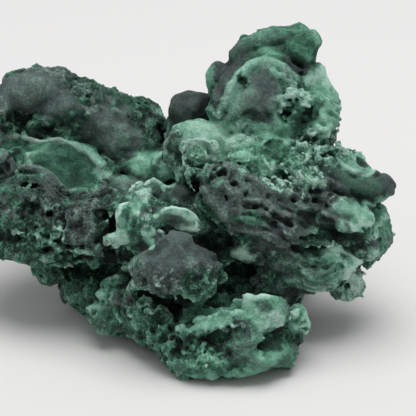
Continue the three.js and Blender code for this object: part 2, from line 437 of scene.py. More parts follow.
# colour of the large regions: (centre, radii, tone, grey)
for at, radii, tone, grey in (
    ((-26, 19, 42), (20, 9, 7), 0.44, 0.95),  # back ridge: slate domes over dark green
    ((-18, 21, 44.5), (6, 5, 1.6), 0.2, 0.2), ((-35, 20, 46), (3, 4, 2), 0.3, 0.2),
    ((-20.5, 15, 39.5), (3, 5, 1.8), 0.2, 0.1), ((-29, 15, 38), (6, 5, 1.8), 0.2, 0.2),
    ((-9, 19, 39.5), (4, 6, 3), 0.24, 0.2), ((-13.6, 16.5, 37), (5, 5, 4.6), 0.46, 0.9),
    ((-10.8, 15, 33), (5, 5, 3.4), 0.46, 0.95), ((-8, 15, 33.6), (8, 6, 3.6), 0.58, 0.6),
    ((-1.7, 8, 31), (4, 5, 3), 0.66, 0.1),
    ((-6, 12, 29), (6, 5, 3.2), 0.6, 0.15),  # pale saddle behind the teeth
    ((2.4, 16, 41), (5.5, 6, 5), 0.2, 1.0),  # dark dome
    ((16, 9, 47), (9, 8, 7), 0.56, 0.4),  # pinnacle shell
    ((9.4, 9, 50), (2.2, 8, 6.5), 0.28, 1.0),
    ((7.6, 14, 47.8), (2.6, 5, 4), 0.56, 0.1), ((29.6, 12, 47), (3.6, 5, 4.4), 0.84, 0.25),
    ((26, 14, 56), (4.5, 6, 4), 0.46, 0.15), ((17, 14, 56), (5, 6, 3), 0.5, 0.3),
    ((23, 10.5, 52.5), (3, 4, 1.8), 0.24, 0.6), ((31, 6, 43), (4, 6, 7), 0.6, 0.25),
    ((16, 4.5, 43.5), (4.5, 4, 2.4), 0.4, 0.4), ((14, 12, 54), (4, 6, 3), 0.36, 0.4),
    ((10, 4, 38.5), (8.5, 6, 4.5), 0.78, 0.3),  # domes
    ((21, -1, 37), (10, 6, 5), 0.66, 0.15),  # the crumbs' bed
    ((20.8, 3, 40.3), (5, 4, 2), 0.62, 0.2),
    ((16, -12, 32), (13, 5, 4.6), 0.4, 0.8),  # grey crust
    ((21, -14, 27.5), (7, 4, 4), 0.38, 0.85), ((29, -8, 33), (7, 6, 4), 0.42, 0.8),
    ((9, -9, 27), (5, 6, 4.5), 0.5, 0.15),  # green band beside the leaf
    ((20, -14, 20), (6, 4, 5), 0.36, 0.65), ((27, -13, 17), (6, 4, 5), 0.56, 0.35),
    ((24, -13, 12), (5, 4, 2.2), 0.2, 0.9),
    ((36, -2, 34.5), (5.5, 5, 3), 0.6, 0.3), ((42, -4, 31.5), (4, 4, 3.2), 0.2, 1.0),
    ((40, -5, 23), (6, 7, 7), 0.68, 0.3), ((38.5, -8, 21), (3.6, 3, 3), 0.4, 0.9),
    ((36, -11, 13.5), (4.5, 4, 5), 0.72, 0.5),
    ((35, -9, 27.5), (6, 5, 3.6), 0.66, 0.25),  # tongue
    ((0.5, -18, 23), (8.5, 7, 5.5), 0.35, 0.95), ((-2.5, -21, 19.5), (6, 5, 3.6), 0.34, 0.95),  # boulder
    ((4.8, -22, 19.4), (3.6, 4, 2.4), 0.2, 0.1),
    ((-12, -8, 17), (5, 5, 4), 0.38, 0.3), ((-10.6, 5, 26.2), (4.5, 5, 3), 0.6, 0.7),
    ((-26, -3, 26), (14, 12, 7), 0.25, 0.5),  # arm
    # the arm's lower band, and its low left end painted dark as shade under the arm
    ((-28, -6, 21.5), (12, 8, 3.6), 0.3, 0.25), ((-35, -4, 21), (5, 8, 4), 0.14, 0.2),
    ((-18, -8, 25), (5.5, 6, 5.5), 0.36, 0.85),
    ((-22.5, 5.5, 31), (8, 6, 6), 0.42, -0.2), ((-34, 11, 34), (5, 5, 2.4), 0.5, 0.1),
    # the flank, with painted shade in its hollow
    ((-14, -6, 8), (12, 12, 8), 0.5, 0.3), ((-18.5, -5, 9.5), (2.4, 3, 2.2), 0.2, 0.2),
    ((-5, -18, 10), (5, 7, 6), 0.36, 0.2),
    ((10, -26, 8), (12, 8, 9), 0.42, 0.2), ((18.5, -28, 5), (7, 6, 5), 0.46, 0.2),
):
    paint(at, radii, tone, grey, soft=0.3)

# ---- the bowl
strand([(-37, 13.5, 34.2), (-34.5, 13.6, 35.1), (-31, 9.8, 36), (-28, 7.8, 36.3), (-23.5, 8.9, 36.1),
        (-18.5, 7.8, 33.6), (-15, 6, 30), (-13.4, 6, 27.6)], 0.5, 0.5, 0.8, blend=0.8)
strand([(-18.2, 8.6, 33.2), (-16.6, 7.6, 31.8), (-15, 6.8, 29.6), (-13.6, 6.6, 28)], 0.7, 0.78, 0.1,
       blend=0.4)
strand([(-32, 4.6, 31.9), (-29.6, 4.6, 31.8), (-27.4, 4.2, 31), (-25.5, 3.2, 30), (-23.6, 1, 28.9),
        (-20.5, 0.1, 27.9), (-17.5, -0.2, 27.5), (-15, 1, 28), (-14.6, 3.4, 28.8)],
       (0.6, 0.7, 0.8, 0.9, 0.8, 0.6, 0.5, 0.6, 0.6), 0.38, 1.0, blend=0.9)
paint((-18.3, 5.4, 30.6), (1.8, 3, 3.6), 0.58, 0.4)
line([(-20, 3, 28.2), (-18, 2.4, 27.9), (-16, 3, 28.6)], 0.5, 0.6, 0.2)
paint((-29.5, 6.5, 34), (3, 2.5, 2.5), 0.55, 0.2, strength=0.7)
paint((-25, 7.4, 34.4), (6, 3, 1.7), 0.6, 0.15, strength=0.8)
line([(-29, 6.6, 33.4), (-25.6, 6.8, 32.6), (-22.6, 6.4, 30.6)], 0.5, 0.56, 0.1, soft=0.8)
paint((-20, 5, 29.2), (3.4, 3, 1.8), 0.24, -0.3, strength=0.8)
paint((-27, 5.5, 32.3), (4, 1.8, 0.7), 0.28, 0.6, strength=0.6)
# painted shade: the notch at the bowl's left end painted black
paint((-33.2, 6, 34), (1.2, 3, 1.6), 0.0, 0.3)
blob((-6, 12, 28.8), (6, 4.6, 2.9), 0.68, 0.15, lean=6, blend=1.8)
blob((-2.4, 7, 31), (3, 3.4, 3), 0.74, 0.1, blend=1.2)
blob((-11, 6.4, 26.4), (4, 3.4, 2.7), 0.46, 0.75, blend=1.2)

# ---- the arm
ring((-35, 5.5, 31.4), 1.5, 0.65, 0.28, 1.0)
# painted shade: the pit inside the ring is painted dark
pits([(-35, 5.5, 31.6)], 0.7)
blob((-36.5, 6.6, 33.6), (2.2, 1.8, 1.4), 0.34, 1.0, blend=0.5)
blob((-32.6, 4.2, 31), (0.55, 0.5, 0.7), 0.95, 0.0, blend=0.2)
strand([(-26, 2.2, 29.8), (-25.6, 0, 29.4), (-25.4, -3, 28.4), (-25.2, -5.8, 27), (-25.2, -7.2, 25)],
       (1.3, 1.7, 1.9, 2.0, 1.2), 0.25, 0.85, blend=0.8)
# painted shade: this pit is painted dark inside
pits([(-25.2, -7, 26.6)], 0.85, lip=0.45, lip_tone=0.3, lip_grey=0.7)
strand([(-27.6, 3.4, 30.6), (-26.9, 2, 29.6), (-26.6, 0.5, 28.6)], (0.35, 0.5, 0.3), 0.62, -0.2, blend=0.2)
strand([(-31, 3, 30.4), (-29, 3, 30.5), (-27.8, 1.5, 29.2)], 0.5, 0.34, 0.3, blend=0.3)
# painted shade: this hollow and the cleft below it are painted near black
carve((-29.6, 0.8, 29), (1.6, 1.5, 0.8), 0.02, 0.2, blend=0.3)
paint((-29.4, -5.6, 27.2), (2.6, 2.6, 1.4), -0.1, 0.2)
blob((-19, -7, 26), (3.6, 3, 3.2), 0.27, 0.95, blend=1.2)
blob((-16.8, -9.6, 23.5), (3.2, 2.2, 2.6), 0.25, 1.0, blend=1.0)
blob((-20.6, -8.6, 22.4), (2.6, 1.8, 2), 0.3, 0.8)
strand([(-21.8, -4.2, 28), (-21.6, -6.8, 26.6), (-21.7, -8.8, 25)], (0.3, 0.35, 0.3), 0.5, -0.1, blend=0.3)
blob((-23.4, -8.7, 23.6), (1.0, 0.8, 1.9), 0.9, 0.2, lean=12, blend=0.3)
blob((-24, -8.8, 22.6), (0.9, 0.8, 1), 0.95, 0.1, blend=0.3)
blob((-26.4, -8.6, 20.9), (1.1, 0.8, 1), 0.75, 0.2, blend=0.3)
blob((-12.6, -8.2, 22), (0.7, 0.7, 1.2), 0.8, 0.2, blend=0.3)
strand([(-33, -6.8, 22.4), (-30, -8, 22.9), (-28, -8.6, 22.6), (-26.4, -8.6, 21.4)], 0.45, 0.55, 0.4,
       blend=0.4)
frill([(-26, -8.4, 21), (-23.4, -9, 20.2), (-21.3, -9, 19.7), (-18, -10.8, 20.4), (-14.5, -8.8, 20),
       (-11.7, -6.5, 18.8)], 0.45, 0.62, 0.3, wave=3.5, swing=0.3, seed=3, lift=0.5, blend=0.4)
# painted shade: the recess under the arm and the cleft left of the curls painted near black
paint((-17, -9, 17), (7, 5, 2.6), -0.1, 0.2)
paint((-14, -9, 24.8), (2.4, 5, 2.8), -0.08, 0.1)
strand([(-14.6, -10.6, 25.2), (-13.4, -9, 26.4), (-12.4, -6.5, 27.6)], (0.5, 0.6, 0.3), 0.42, -0.2,
       blend=0.3)
blob((-26.3, -1.5, 11.4), (2.6, 2.2, 2.6), 0.2, 0.3, blend=1.2)
blob((-28, -3, 15.5), (2.4, 2, 3.2), 0.42, 0.2, lean=-15, blend=1)

mottles((-30, -4, 25), (9, 8, 6), 60, 35, (0.6, 1.8), (0.04, 0.5, 0.3), (0.2, -0.2, 0.9))
mottles((-28, -6, 20.6), (12, 7, 3), 40, 36, (0.7, 1.8), (0.06, 0.6, 0.3), (0.2, 0.1, 0.6))
# painted shade: the arm's underside at its left end darkened
paint((-35, -6, 19.4), (4.6, 5, 3), 0.12, 0.2, strength=0.65)

# ---- the teeth and the curls
blob((-4.7, -0.5, 28.2), (2.2, 2, 2.2), 0.42, 1.0, blend=0.3)
blob((1, -0.5, 28), (2.2, 2, 2.3), 0.42, 1.0, blend=0.3)
strand([(-4.4, -0.6, 26.6), (-1.8, -0.4, 26), (0.8, -0.4, 26.4)], 1.4, 0.24, 1.0, blend=0.6)
strand([(-7.2, 0.2, 27.6), (-6.6, 0.6, 29.2), (-4.9, 1.6, 30.3), (-3.4, 1.4, 29.8), (-2.2, 1, 29),
        (-0.8, 1.2, 29), (0.9, 1.6, 29.9), (2.2, 1.4, 29), (3, 0.6, 27.4)], 0.5, 0.82, 0.1, blend=0.6)
blob((-2, 0.9, 28.9), (1.5, 0.8, 0.6), 0.86, 0.1, blend=0.3)
strand([(3.2, 0, 26.6), (3.6, -2.4, 25.4), (3, -4.5, 25)], (1.0, 1.1, 0.8), 0.25, 0.9, blend=0.6)
blob((-6.8, -9.6, 30), (2.1, 2, 3.2), 0.88, 0.05, lean=18, blend=0.6)
blob((-7.4, -4.5, 29), (2.4, 4.5, 2.2), 0.82, 0.1, lean=10)
strand([(-9, -6, 31.4), (-8, -3, 31.4), (-7, -0.6, 30.6), (-6.9, 0.4, 29)], 0.4, 0.85, 0.1, blend=0.4)
strand([(-7, -13.8, 28.4), (-7.4, -13.4, 29.9), (-8.3, -12.2, 31), (-9.6, -11.7, 31), (-10.7, -11.7, 30.1),
        (-11.2, -12.6, 28.8), (-10.4, -13.8, 27.3), (-10.5, -13.6, 25.6), (-11.6, -12.8, 24.2),
        (-13, -12.2, 23.9)], (0.25, 0.28, 0.3, 0.32, 0.4, 0.45, 0.4, 0.45, 0.5, 0.4), 0.84, 0.15, blend=0.8)
blob((-11.6, -12.8, 23.8), (2.8, 1.5, 1.6), 0.9, 0.0, lean=-6, blend=0.6)
blob((-9.4, -12.8, 28.9), (2.1, 1.3, 2.3), 0.86, 0.1)
blob((-9.9, -13.1, 26), (1.9, 1.3, 2.6), 0.84, 0.1, lean=8)
carve((-8.6, -14.4, 28.4), (1.0, 0.9, 1.5), 0.5, 0.1, lean=-10, blend=0.5)
blob((-7, -11.6, 28.6), (1.9, 1.6, 2.4), 0.72, 0.2)
blob((-8.6, -12.6, 26.8), (1.5, 1.2, 3), 0.55, 0.1, blend=0.6)
blob((1, -12.8, 28.2), (4.4, 2.2, 2.3), 0.6, 0.5, lean=20, blend=0.4)  # the leaf
carve((0.4, -15.4, 28), (3.3, 2.1, 1.6), lean=20, blend=0.5)
strand([(-5.2, -13.8, 28.1), (-3.6, -13.6, 29.4), (-2, -13, 30.6), (-0.4, -12.7, 30.8), (1.2, -12.6, 30.2),
        (2.8, -12.6, 29.3), (4, -13, 28.3), (4.6, -13.6, 27.3), (4.2, -14, 26.6), (3, -14.4, 26.4)],
       (0.3, 0.3, 0.32, 0.32, 0.34, 0.4, 0.5, 0.6, 0.6, 0.4), 0.88, 0.1, blend=0.35)
strand([(0.6, -11, 30.9), (2.8, -9.5, 30.2), (4.6, -9, 28.8)], 0.5, 0.5, 0.0)
paint((0.2, -14.4, 28.2), (2.8, 2, 1.3), 0.52, 0.75, lean=20)
# painted highlight: the right end of the leaf's hollow face painted pale
paint((2.6, -14.6, 27.3), (1.3, 1.5, 1.3), 0.8, 0.5, lean=20)
# painted shade: the undercut beneath the leaf and the slot beside it painted near black
carve((-0.6, -13.6, 24.4), (3.6, 3, 1.1), -0.1, 0.2, lean=10, blend=0.3)
carve((-2.6, -14.8, 26.4), (1.3, 1.6, 0.6), 0.0, 0.2, lean=20, blend=0.3)
strand([(-4.9, -14.4, 28.6), (-5.7, -15, 27), (-5.2, -15.6, 25), (-4, -16.4, 23.6)], (0.6, 0.7, 0.7, 0.5),
       0.7, 0.0, blend=0.3)
ring((-5.4, -15.2, 26.6), 0.9, 0.35, 0.75, 0.0)
blob((-2.9, -15.4, 25.4), (1.1, 0.8, 1.5), 0.8, 0.7, lean=10, blend=0.3)
blob((-2.7, -17.4, 24), (0.5, 0.5, 0.7), 1.15, 0.0, blend=0.15)
blob((-4.2, -17.2, 23.6), (1.2, 0.6, 0.4), 0.85, -0.1, blend=0.2)
paint((-8, -11, 21), (2.5, 3, 3.5), 0.45, 0.1)

# ---- the boulder
blob((-5, -19.4, 21.6), (4.4, 2.8, 2.3), lean=-24, blend=1.2)
blob((-7.4, -18.6, 20.4), (2, 1.8, 1.3), lean=-30)
carve((6.4, -17.4, 26.6), (1.7, 3.4, 1.3), lean=40, blend=0.6)
carve((-3.6, -20.6, 25), (2.6, 3, 1.1), lean=-34, blend=0.6)
strand([(-0.4, -17.4, 27.3), (1.4, -18, 26.6), (2.6, -18.4, 25), (4.4, -20, 23.4), (5.8, -21, 21.6)],
       (0.7, 0.8, 0.8, 0.7, 0.4), 0.34, 1.0, blend=1.2)
strand([(-7.4, -19.8, 21.8), (-5, -21, 22.6), (-2.4, -21.6, 22.4), (0.4, -22, 21.6)], (0.4, 0.6, 0.6, 0.4),
       0.28, 0.9, blend=1.0)
blob((4.4, -22.6, 19.2), (2.5, 1.6, 1.8), 0.14, 0.0, lean=-10)
crumbs((4.6, -23.3, 19.2), (2.8, 2.5, 2.2), 20, 21, size=(0.12, 0.22), curl=0.5, tone=(0.0, 0.3), grey=0.0)
crumbs((7, -22.4, 19.6), (1.2, 2, 2.2), 9, 22, size=(0.12, 0.22), curl=0.9, tone=(0.2, 0.7), grey=0.0)
line([(1.6, -22.4, 17.6), (2, -23, 20), (3.6, -22.6, 21.4), (6, -21.6, 21.6)], 0.1, 0.55, 0.1, soft=0.3)
paint((4.8, -23, 19), (3.6, 3, 2.6), 0.08, 0.0, strength=0.6)
carve((-5.8, -21.6, 15.8), (3, 3, 1.7), lean=25, blend=0.5)
blob((-7, -18.4, 16.4), (2.1, 1.6, 1.5), 0.72, 0.5, blend=0.4)
line([(-2.75, -22, 19.2), (-1.6, -22, 20.3), (-0.6, -22, 20.9), (-0.4, -22, 21.6)], 0.06, 0.95, 0.8,
     soft=0.28, snap=False)
paint(clay.slide((-0.3, -22, 22.4))[0], (0.3, 0.3, 0.3), 0.95, 0.8)
mottles((0, -19, 22), (8, 5, 5), 14, 24, (0.8, 2.2), (0.26, 0.5, 0.42), (1.0, 0.9, 0.35))
paint((6.2, -20, 23.6), (2.6, 3.4, 2.6), 0.2, 1.0, strength=0.7)
blob((-8.4, -15, 13.6), (1.6, 2, 2), 0.2, 0.6, blend=0.6)
# painted shade: the hollows under and beside the boulder painted near black, then partly lifted to a
# mid-dark under its right side
for at, radii in (
    ((-3.5, -21, 15.2), (4, 4, 2.4)), ((6, -17, 15.5), (5, 5, 2.6)), ((8, -10, 21), (5, 4, 3)),
    ((13.5, -12, 15.4), (3.6, 4, 1.8)), ((0, -18, 13), (5, 4, 2)),
):
    paint(at, radii, 0.04, 0.4)
paint((9.4, -17, 12.6), (5, 4, 2.4), 0.3, 0.0)

# ---- the flank
knobs_on((-13, -8, 10), (9, 9, 7), 30, 31, size=(1.2, 2.2), tone=(0.3, 0.66), grey=0.3)
# painted shade: the flank's hollow darkened
paint((-17.8, -5, 7.8), (2.6, 4, 2.6), 0.12, 0.1)
for at, radii in (
    ((-13.2, -12, 13.3), (1.7, 1.4, 1.3)), ((-11, -11.4, 14.2), (1.6, 1.3, 1)),
    ((-12, -12.6, 11.8), (1.2, 1, 1)), ((-9.6, -9.8, 16), (1.4, 1.2, 1)),
):
    blob(at, radii, 0.72, 0.1, blend=0.4)
for path in (
    [(-17.7, -5.5, 11), (-16.4, -7.5, 9), (-15.8, -9, 7.4)],
    [(-9, -14.6, 12), (-7.6, -17.4, 9.6), (-5.4, -19.8, 7.4)],
    [(-13, -11.6, 10), (-11, -14, 8), (-9.4, -16, 6.6)], [(-21, -3, 8), (-19, -5.4, 6), (-16, -8.6, 4.6)],
):
    frill(path, 0.35, 0.68, 0.0, wave=1.8, swing=0.35, seed=len(path) + int(-path[0][0]), lift=0.3)
ring((-2.6, -21.1, 10.4), 1.9, 0.4, 0.6, 0.2, lift=0.2)
ring((-2.6, -21.1, 10.4), 1.0, 0.3, 0.3, 0.4, lift=0.3)
ring((-6, -18.6, 12.4), 1.1, 0.4, 0.5, 0.1, lift=0.3)
frill([(-6.6, -17.6, 13.6), (-5.4, -19, 11.8), (-4.6, -20.6, 10.4)], 0.3, 0.75, 0.0, seed=7)
for path in (
    [(-5.2, -21.6, 9.6), (-4.9, -23, 7.4), (-4.4, -24, 5)],
    [(-2.8, -23.6, 8.2), (-2.9, -24.4, 5.6), (-2.4, -25.2, 3.2)],
    [(-1.2, -24.4, 8.6), (-0.6, -26.4, 6.4), (-1.2, -27, 4)],
):
    strand(path, (0.5, 0.6, 0.35), 0.42, 0.2, blend=0.4, snap=0.2)
# painted shade: the gap between the stalks painted dark
carve((-2, -25, 6.4), (0.6, 1.2, 2), 0.1, 0.2, blend=0.3)

mottles((-13, -9, 10), (11, 10, 8), 70, 32, (0.9, 2.4), (0.08, 0.16, 0.3, 0.7), (0.2, 0.6, 0.9, 0.1))
mottles((-8, -14, 17), (7, 6, 6), 30, 33, (0.7, 1.8), (0.08, 0.24, 0.72), (0.2, 0.9, 0.05))
paint((-19, -4, 10), (6, 7, 6), 0.24, 0.2, strength=0.5)

# ---- the foot
frill([(0.6, -25.4, 9.4), (1.6, -25.4, 10.6), (3.4, -25, 11.4), (6, -25.4, 12.2), (9.9, -25.8, 13.5),
       (13.4, -26.4, 13.4)], 0.55, 0.68, 0.15, wave=4.5, swing=0.2, seed=11, lift=0.5, blend=1.0)
frill([(1.3, -26.4, 8.8), (3.2, -26.6, 8.4), (5, -26.6, 10.4), (7.8, -27, 11.2), (11, -27.6, 11.8),
       (14, -27.6, 11.4)], 0.4, 0.64, 0.15, wave=2.6, swing=0.3, seed=12, lift=0.4, blend=0.5)
blob((2.8, -26.4, 8.6), (1.5, 0.8, 1.6), 0.6, 0.3, blend=0.4)
strand([(1.8, -25.8, 9.4), (4, -26, 10.3), (7, -26.4, 11.5), (10.4, -26.8, 12.4), (13.4, -27, 12.5)], 0.95,
       0.58, 0.2, blend=0.8)
strand([(13.8, -25, 13.4), (14, -24.8, 15.4), (14.4, -24.8, 16.8), (15.8, -24.8, 16.4), (17.6, -24.8, 16.9),
        (19.6, -25, 16), (21.4, -25, 14.2), (22.6, -25, 12.4)], (0.4, 0.45, 0.4, 0.35, 0.4, 0.4, 0.4, 0.35),
       0.84, 0.0, blend=0.6)
paint((15, -26, 14.2), (1.6, 2, 2.8), 0.66, -0.2)
paint((18.8, -26.6, 12.8), (3, 2, 2.8), 0.84, 0.4)
# painted shade: the small hole in the plate's top painted dark
carve((17.6, -26.8, 15.4), (0.7, 0.7, 0.6), 0.2, 0.3, blend=0.3)
paint((18.4, -26.6, 15), (1.2, 1.5, 0.6), 0.4, 0.2)
# painted shade: the notch left of the standing plate and the groove below it painted dark
paint((12.4, -27.4, 11.6), (1.8, 2, 1), 0.1, 0.9)
carve((8.6, -28.4, 10.2), (3.4, 1.6, 0.7), 0.1, 0.2, lean=-6, blend=0.4)
strand([(23.4, -22.6, 12), (25, -21.8, 11.2), (26, -21.8, 9.6), (26, -22.4, 7.6)], (0.8, 1.0, 1.0, 0.7),
       0.82, 0.0, blend=0.6)
paint((25, -22, 9.6), (2.2, 3, 2.6), 0.74, 0.0)
# painted shade: the small hole at the tip painted dark
carve((25.3, -23.4, 8.4), (0.7, 1, 0.7), 0.15, 0.3, blend=0.3)
# painted shade: the foot's hollows painted near black, the right one less so
for at, radii in (
    ((7.4, -28.8, 9.4), (3.4, 3, 1.2)), ((1.1, -28.4, 6.2), (1.8, 2.4, 1.6)),
    ((20.4, -26, 9.8), (3, 3, 1.1)),
):
    paint(at, radii, -0.1, 0.3)
paint((19.6, -28, 8), (4, 3, 1.6), 0.2, 0.0)
for at, radii in (
    ((5.6, -29.4, 5.6), (1.5, 1.3, 1)), ((3.2, -29.6, 4.4), (1.4, 1.2, 1)),
    ((9.4, -30.2, 5), (1.6, 1.2, 1.1)), ((7.4, -29.8, 2.8), (1.9, 1.2, 1.3)),
    ((12.6, -29.4, 2.6), (3.4, 1.8, 2.2)), ((4.6, -29, 2.2), (1.3, 1.1, 1)),
    ((1.6, -28.4, 3.4), (1, 1, 0.9)),
):
    blob(at, radii, 0.52, 0.25, lean=12, blend=1.0)
carve((20, -30, -3.2), (9.5, 8, 6.2), blend=1.5)  # its underside rises to the front and right
carve((13, -31.5, -0.5), (4.5, 3.6, 2.6), blend=1.2)
# painted shade: small holes in the foot's front painted dark
for at, radii in (
    ((4, -30, 6.8), (1.2, 1.2, 0.7)), ((10.4, -31, 6.8), (1.4, 1.2, 0.7)), ((7, -31, 4.4), (1.4, 1, 0.6)),
    ((13.6, -31, 6), (0.8, 1, 0.9)),
):
    carve(at, radii, 0.05, 0.2, lean=20, blend=0.4)
# painted shade: this hollow, the ground round the pits and the pits themselves painted dark
carve((6, -29.8, 9), (3, 1.7, 1.1), lean=-8, blend=0.4)
paint((6, -29, 9), (3.4, 3, 1.4), -0.05, 0.3, lean=-8)
paint((1, -28, 8), (2.3, 3, 2.2), 0.06, 0.3, strength=0.75)
pits(clay.slide([(-0.4, -28, 9), (1.2, -28, 8.2), (0.4, -28, 6.8), (2.6, -28, 7)]), 0.6, tone=-0.05,
     lip=0.25, lip_tone=0.5)
paint((13, -30.4, 8), (2.6, 3, 2.6), 0.5, 0.6, strength=0.6)
rng = np.random.default_rng(43)
for _ in range(12):
    start = np.array((12.6, -30.4, 7.6)) + rng.uniform(-1, 1, 3) * (2.4, 0, 2.2)
    line([start, start + rng.uniform(-1, 1, 3) * (1.8, 0, 1.2)], 0.05, 0.95, 0.7, soft=0.22)

mottles((6, -29, 5.4), (8, 4, 4), 50, 44, (0.5, 1.4), (0.04, 0.2, 0.72), (0.2, 0.6, 0.1))
crumbs((5.4, -29.4, 6.4), (4.4, 3, 2.6), 34, 41, size=(0.15, 0.3), curl=0.9, tone=(0.2, 0.8), grey=0.1)
mottles((12, -26, 12), (12, 4, 3), 26, 45, (0.5, 1.2), (0.3, 0.84, 0.5), (0.5, 0.1, -0.2))
mottles((18, -29, 5), (7, 4, 5), 20, 46, (0.8, 2.0), (0.24, 0.6, 0.44), (0.5, 0.1, 0.6))

# ---- the grey crust of the right mass
ring((8.6, -10.6, 36.6), 2.0, 0.75, 0.26, 1.0)
# painted shade: the hole inside the ring painted black
carve((8.8, -10.8, 37), (1.3, 1.3, 1.3), 0.0, 0.4, blend=0.4)
paint((7, -11, 35), (1.6, 2, 1.2), 0.38, 0.3)
for path in (
    [(10.4, -9, 37.6), (13, -10.2, 36.6), (16, -10.4, 35), (19, -10.8, 33.6), (22, -11.2, 32.4)],
    [(6.4, -11.4, 33.8), (8.6, -13.6, 31.2), (10.4, -14.2, 28.6), (11.4, -14, 26.6)],
    [(10, -12.4, 34.8), (13, -14.4, 33.8), (16.4, -14.6, 32.6), (19.6, -14.6, 31.4), (22.6, -14, 29.6)],
    [(11.6, -14.8, 31), (14.4, -15.8, 31.4), (17.6, -15.8, 30.8), (20, -15.8, 29), (22.4, -15.6, 26)],
    [(12.6, -14.8, 27), (16, -15.8, 26.6), (19.6, -15.8, 25.4), (22.4, -15.6, 23.4)],
):
    strand(path, 0.85, 0.3, 1.0, blend=0.7, snap=0.25)
line([(5, -9.2, 32.9), (7.4, -12.6, 31.4), (9.4, -14, 29.4), (10.6, -14.2, 27.6)], 0.3, 0.6, 0.2)
# painted shade: these pits painted black inside
for radius, places in (
    (0.7, [(11.6, -12.4, 35.2), (16.5, -14.6, 31.6), (24, -11.4, 32.2)]),
    (0.5, [(13.9, -13.9, 33.6), (19.6, -15.2, 28.4), (27, -10.8, 32.4)]),
    (0.35, [(12.2, -13.9, 32.6), (18, -14.8, 30.4), (21.4, -13.6, 31.8), (14.4, -14.6, 31.4)]),
):
    pits(places, radius, tone=-0.05, lip=0.25, lip_tone=0.3, lip_grey=0.7)
# painted shade: these slits painted black
for at, radii, lean in (
    ((14.6, -14.8, 34), (1.5, 1, 0.4), 24), ((19.4, -14.8, 30.2), (1.7, 1, 0.45), 30),
    ((10.4, -13.6, 33), (0.4, 0.9, 1.1), -20), ((22.6, -14.4, 27.6), (0.5, 1, 1.3), -35),
):
    carve(at, radii, 0.0, 0.5, lean=lean, blend=0.3)
blob((15.4, -15.3, 29.4), (3.2, 1.2, 1.0), 0.4, 0.0, lean=14, blend=0.4)
line([(12.4, -15, 29.2), (14.4, -16, 28.4), (17.4, -16, 28.2)], 0.3, 0.55, 0.2)
strand([(4.4, -6.4, 30.6), (6, -9, 28.4), (8, -11.6, 26.4), (11, -12.6, 24.6), (13.6, -13, 23.6)], 0.5, 0.4,
       0.0, snap=0.1)
# painted shade: these pits painted black inside
pits([(6.2, -5, 28), (8.4, -9.8, 27.2), (9.6, -12.4, 26.6), (5.8, -7.6, 30)], 0.7, tone=-0.05)
blob((14.2, -12.8, 20.4), (3, 1.6, 1.7), lean=6, blend=0.3)
paint((14.2, -14, 20.4), (3, 2.4, 1.9), 0.8, 0.35, lean=6)
frill([(15.4, -12.6, 16.8), (18, -13.4, 16), (20.2, -13.6, 15.6)], 0.35, 0.55, -0.1, seed=9)

mottles((15, -13, 29), (11, 5, 8), 30, 47, (0.5, 1.6), (0.2, 0.46, 0.36), (1.0, 0.8, -0.1), lean=20)
mottles((18, -13, 20), (7, 5, 6), 30, 48, (0.8, 2.0), (0.16, 0.5, 0.4), (0.9, 0.1, 0.9))
paint((14, -14, 20.2), (2.6, 2.4, 1.6), 0.82, 0.35, lean=6)

# ---- under the crust, and the far right
# painted shade: the slots under the crust and the hollow under the tongue painted near black
paint((28.5, -13, 28), (4, 4, 1.5), -0.1, 0.1, lean=18)
paint((29, -14, 24.3), (5, 3, 0.9), -0.05, 0.1)
paint((35, -12, 22.6), (5, 5, 1.2), 0.0, 0.2, lean=8)
blob((34.2, -8.6, 28.8), (5.2, 4.4, 2.6), 0.58, 0.25, lean=24)
blob((36.8, -9.8, 27.2), (3.2, 3.2, 1.9), 0.66, 0.25, lean=8, blend=0.6)
carve((34.6, -13.4, 28.6), (1.3, 1.1, 0.7), 0.3, 0.3, lean=10, blend=0.6)
carve((32.6, -14, 25.4), (2.4, 2.4, 1.2), lean=16, blend=0.4)
carve((36, -14.2, 24.2), (3.2, 2.6, 1.1), lean=8, blend=0.5)
line([(33.6, -13.6, 27.8), (36, -13.8, 26.6), (38.4, -12.4, 26.4), (39.8, -9.6, 27.4)], 0.6, 0.82, 0.2)
# painted shade: under the tongue's lower edge
paint((32.6, -11.6, 26), (3, 3, 1.3), 0.08, 0.2, lean=14)
strand([(30, -5, 35.6), (33, -6, 34.2), (35.5, -6.7, 32.8), (38.1, -6.4, 32.2), (41, -5, 31.8),
        (42.4, -3.9, 31.4)], (0.9, 1.2, 1.4, 1.6, 1.7, 1.9), 0.24, 0.45, blend=0.6)
blob((42.2, -3.6, 31.2), (2.1, 2.4, 2.4), 0.16, 1.0, blend=0.6)
strand([(29.6, -7.8, 35.2), (32, -8, 33.6), (34.4, -8.2, 32)], 0.9, 0.22, 1.0, blend=0.6, snap=0.1)
# painted shade: the slot under the plate above the nose
paint((36.6, -6.6, 31), (4.6, 3, 1.2), 0.05, 0.2, lean=12)
blob((38.4, -6, 29.2), (2.6, 2.4, 1.1), 0.42, 0.15, lean=12, blend=0.5)
line([(32, -2.4, 37), (34.4, -2.6, 35.2), (37, -3, 33.9), (39.6, -2.4, 33.8), (40.6, 0, 33.8)], 0.45, 0.85,
     0.15)
carve((37.6, -1.4, 35.4), (1.5, 1.4, 0.7), 0.3, 0.6, lean=24, blend=0.5)
strand([(33, 1.6, 38.2), (35.4, 1.2, 37), (38, 1, 35.4)], 0.7, 0.7, 0.15, blend=0.4, snap=0.1)
strand([(29.2, 0.5, 38), (31, -1.2, 36.6), (33, -2.4, 34.8)], 0.6, 0.35, 0.1, snap=0.1)
for x in (39.4, 40.8, 42.2, 43.6):
    strand([(x, -6.6 + 0.5 * (x - 39), 27), (x + 0.2, -7.4 + 0.7 * (x - 39), 23),
            (x, -7.4 + 0.7 * (x - 39), 19)], 0.45, 0.42, 0.15, snap=0.1)
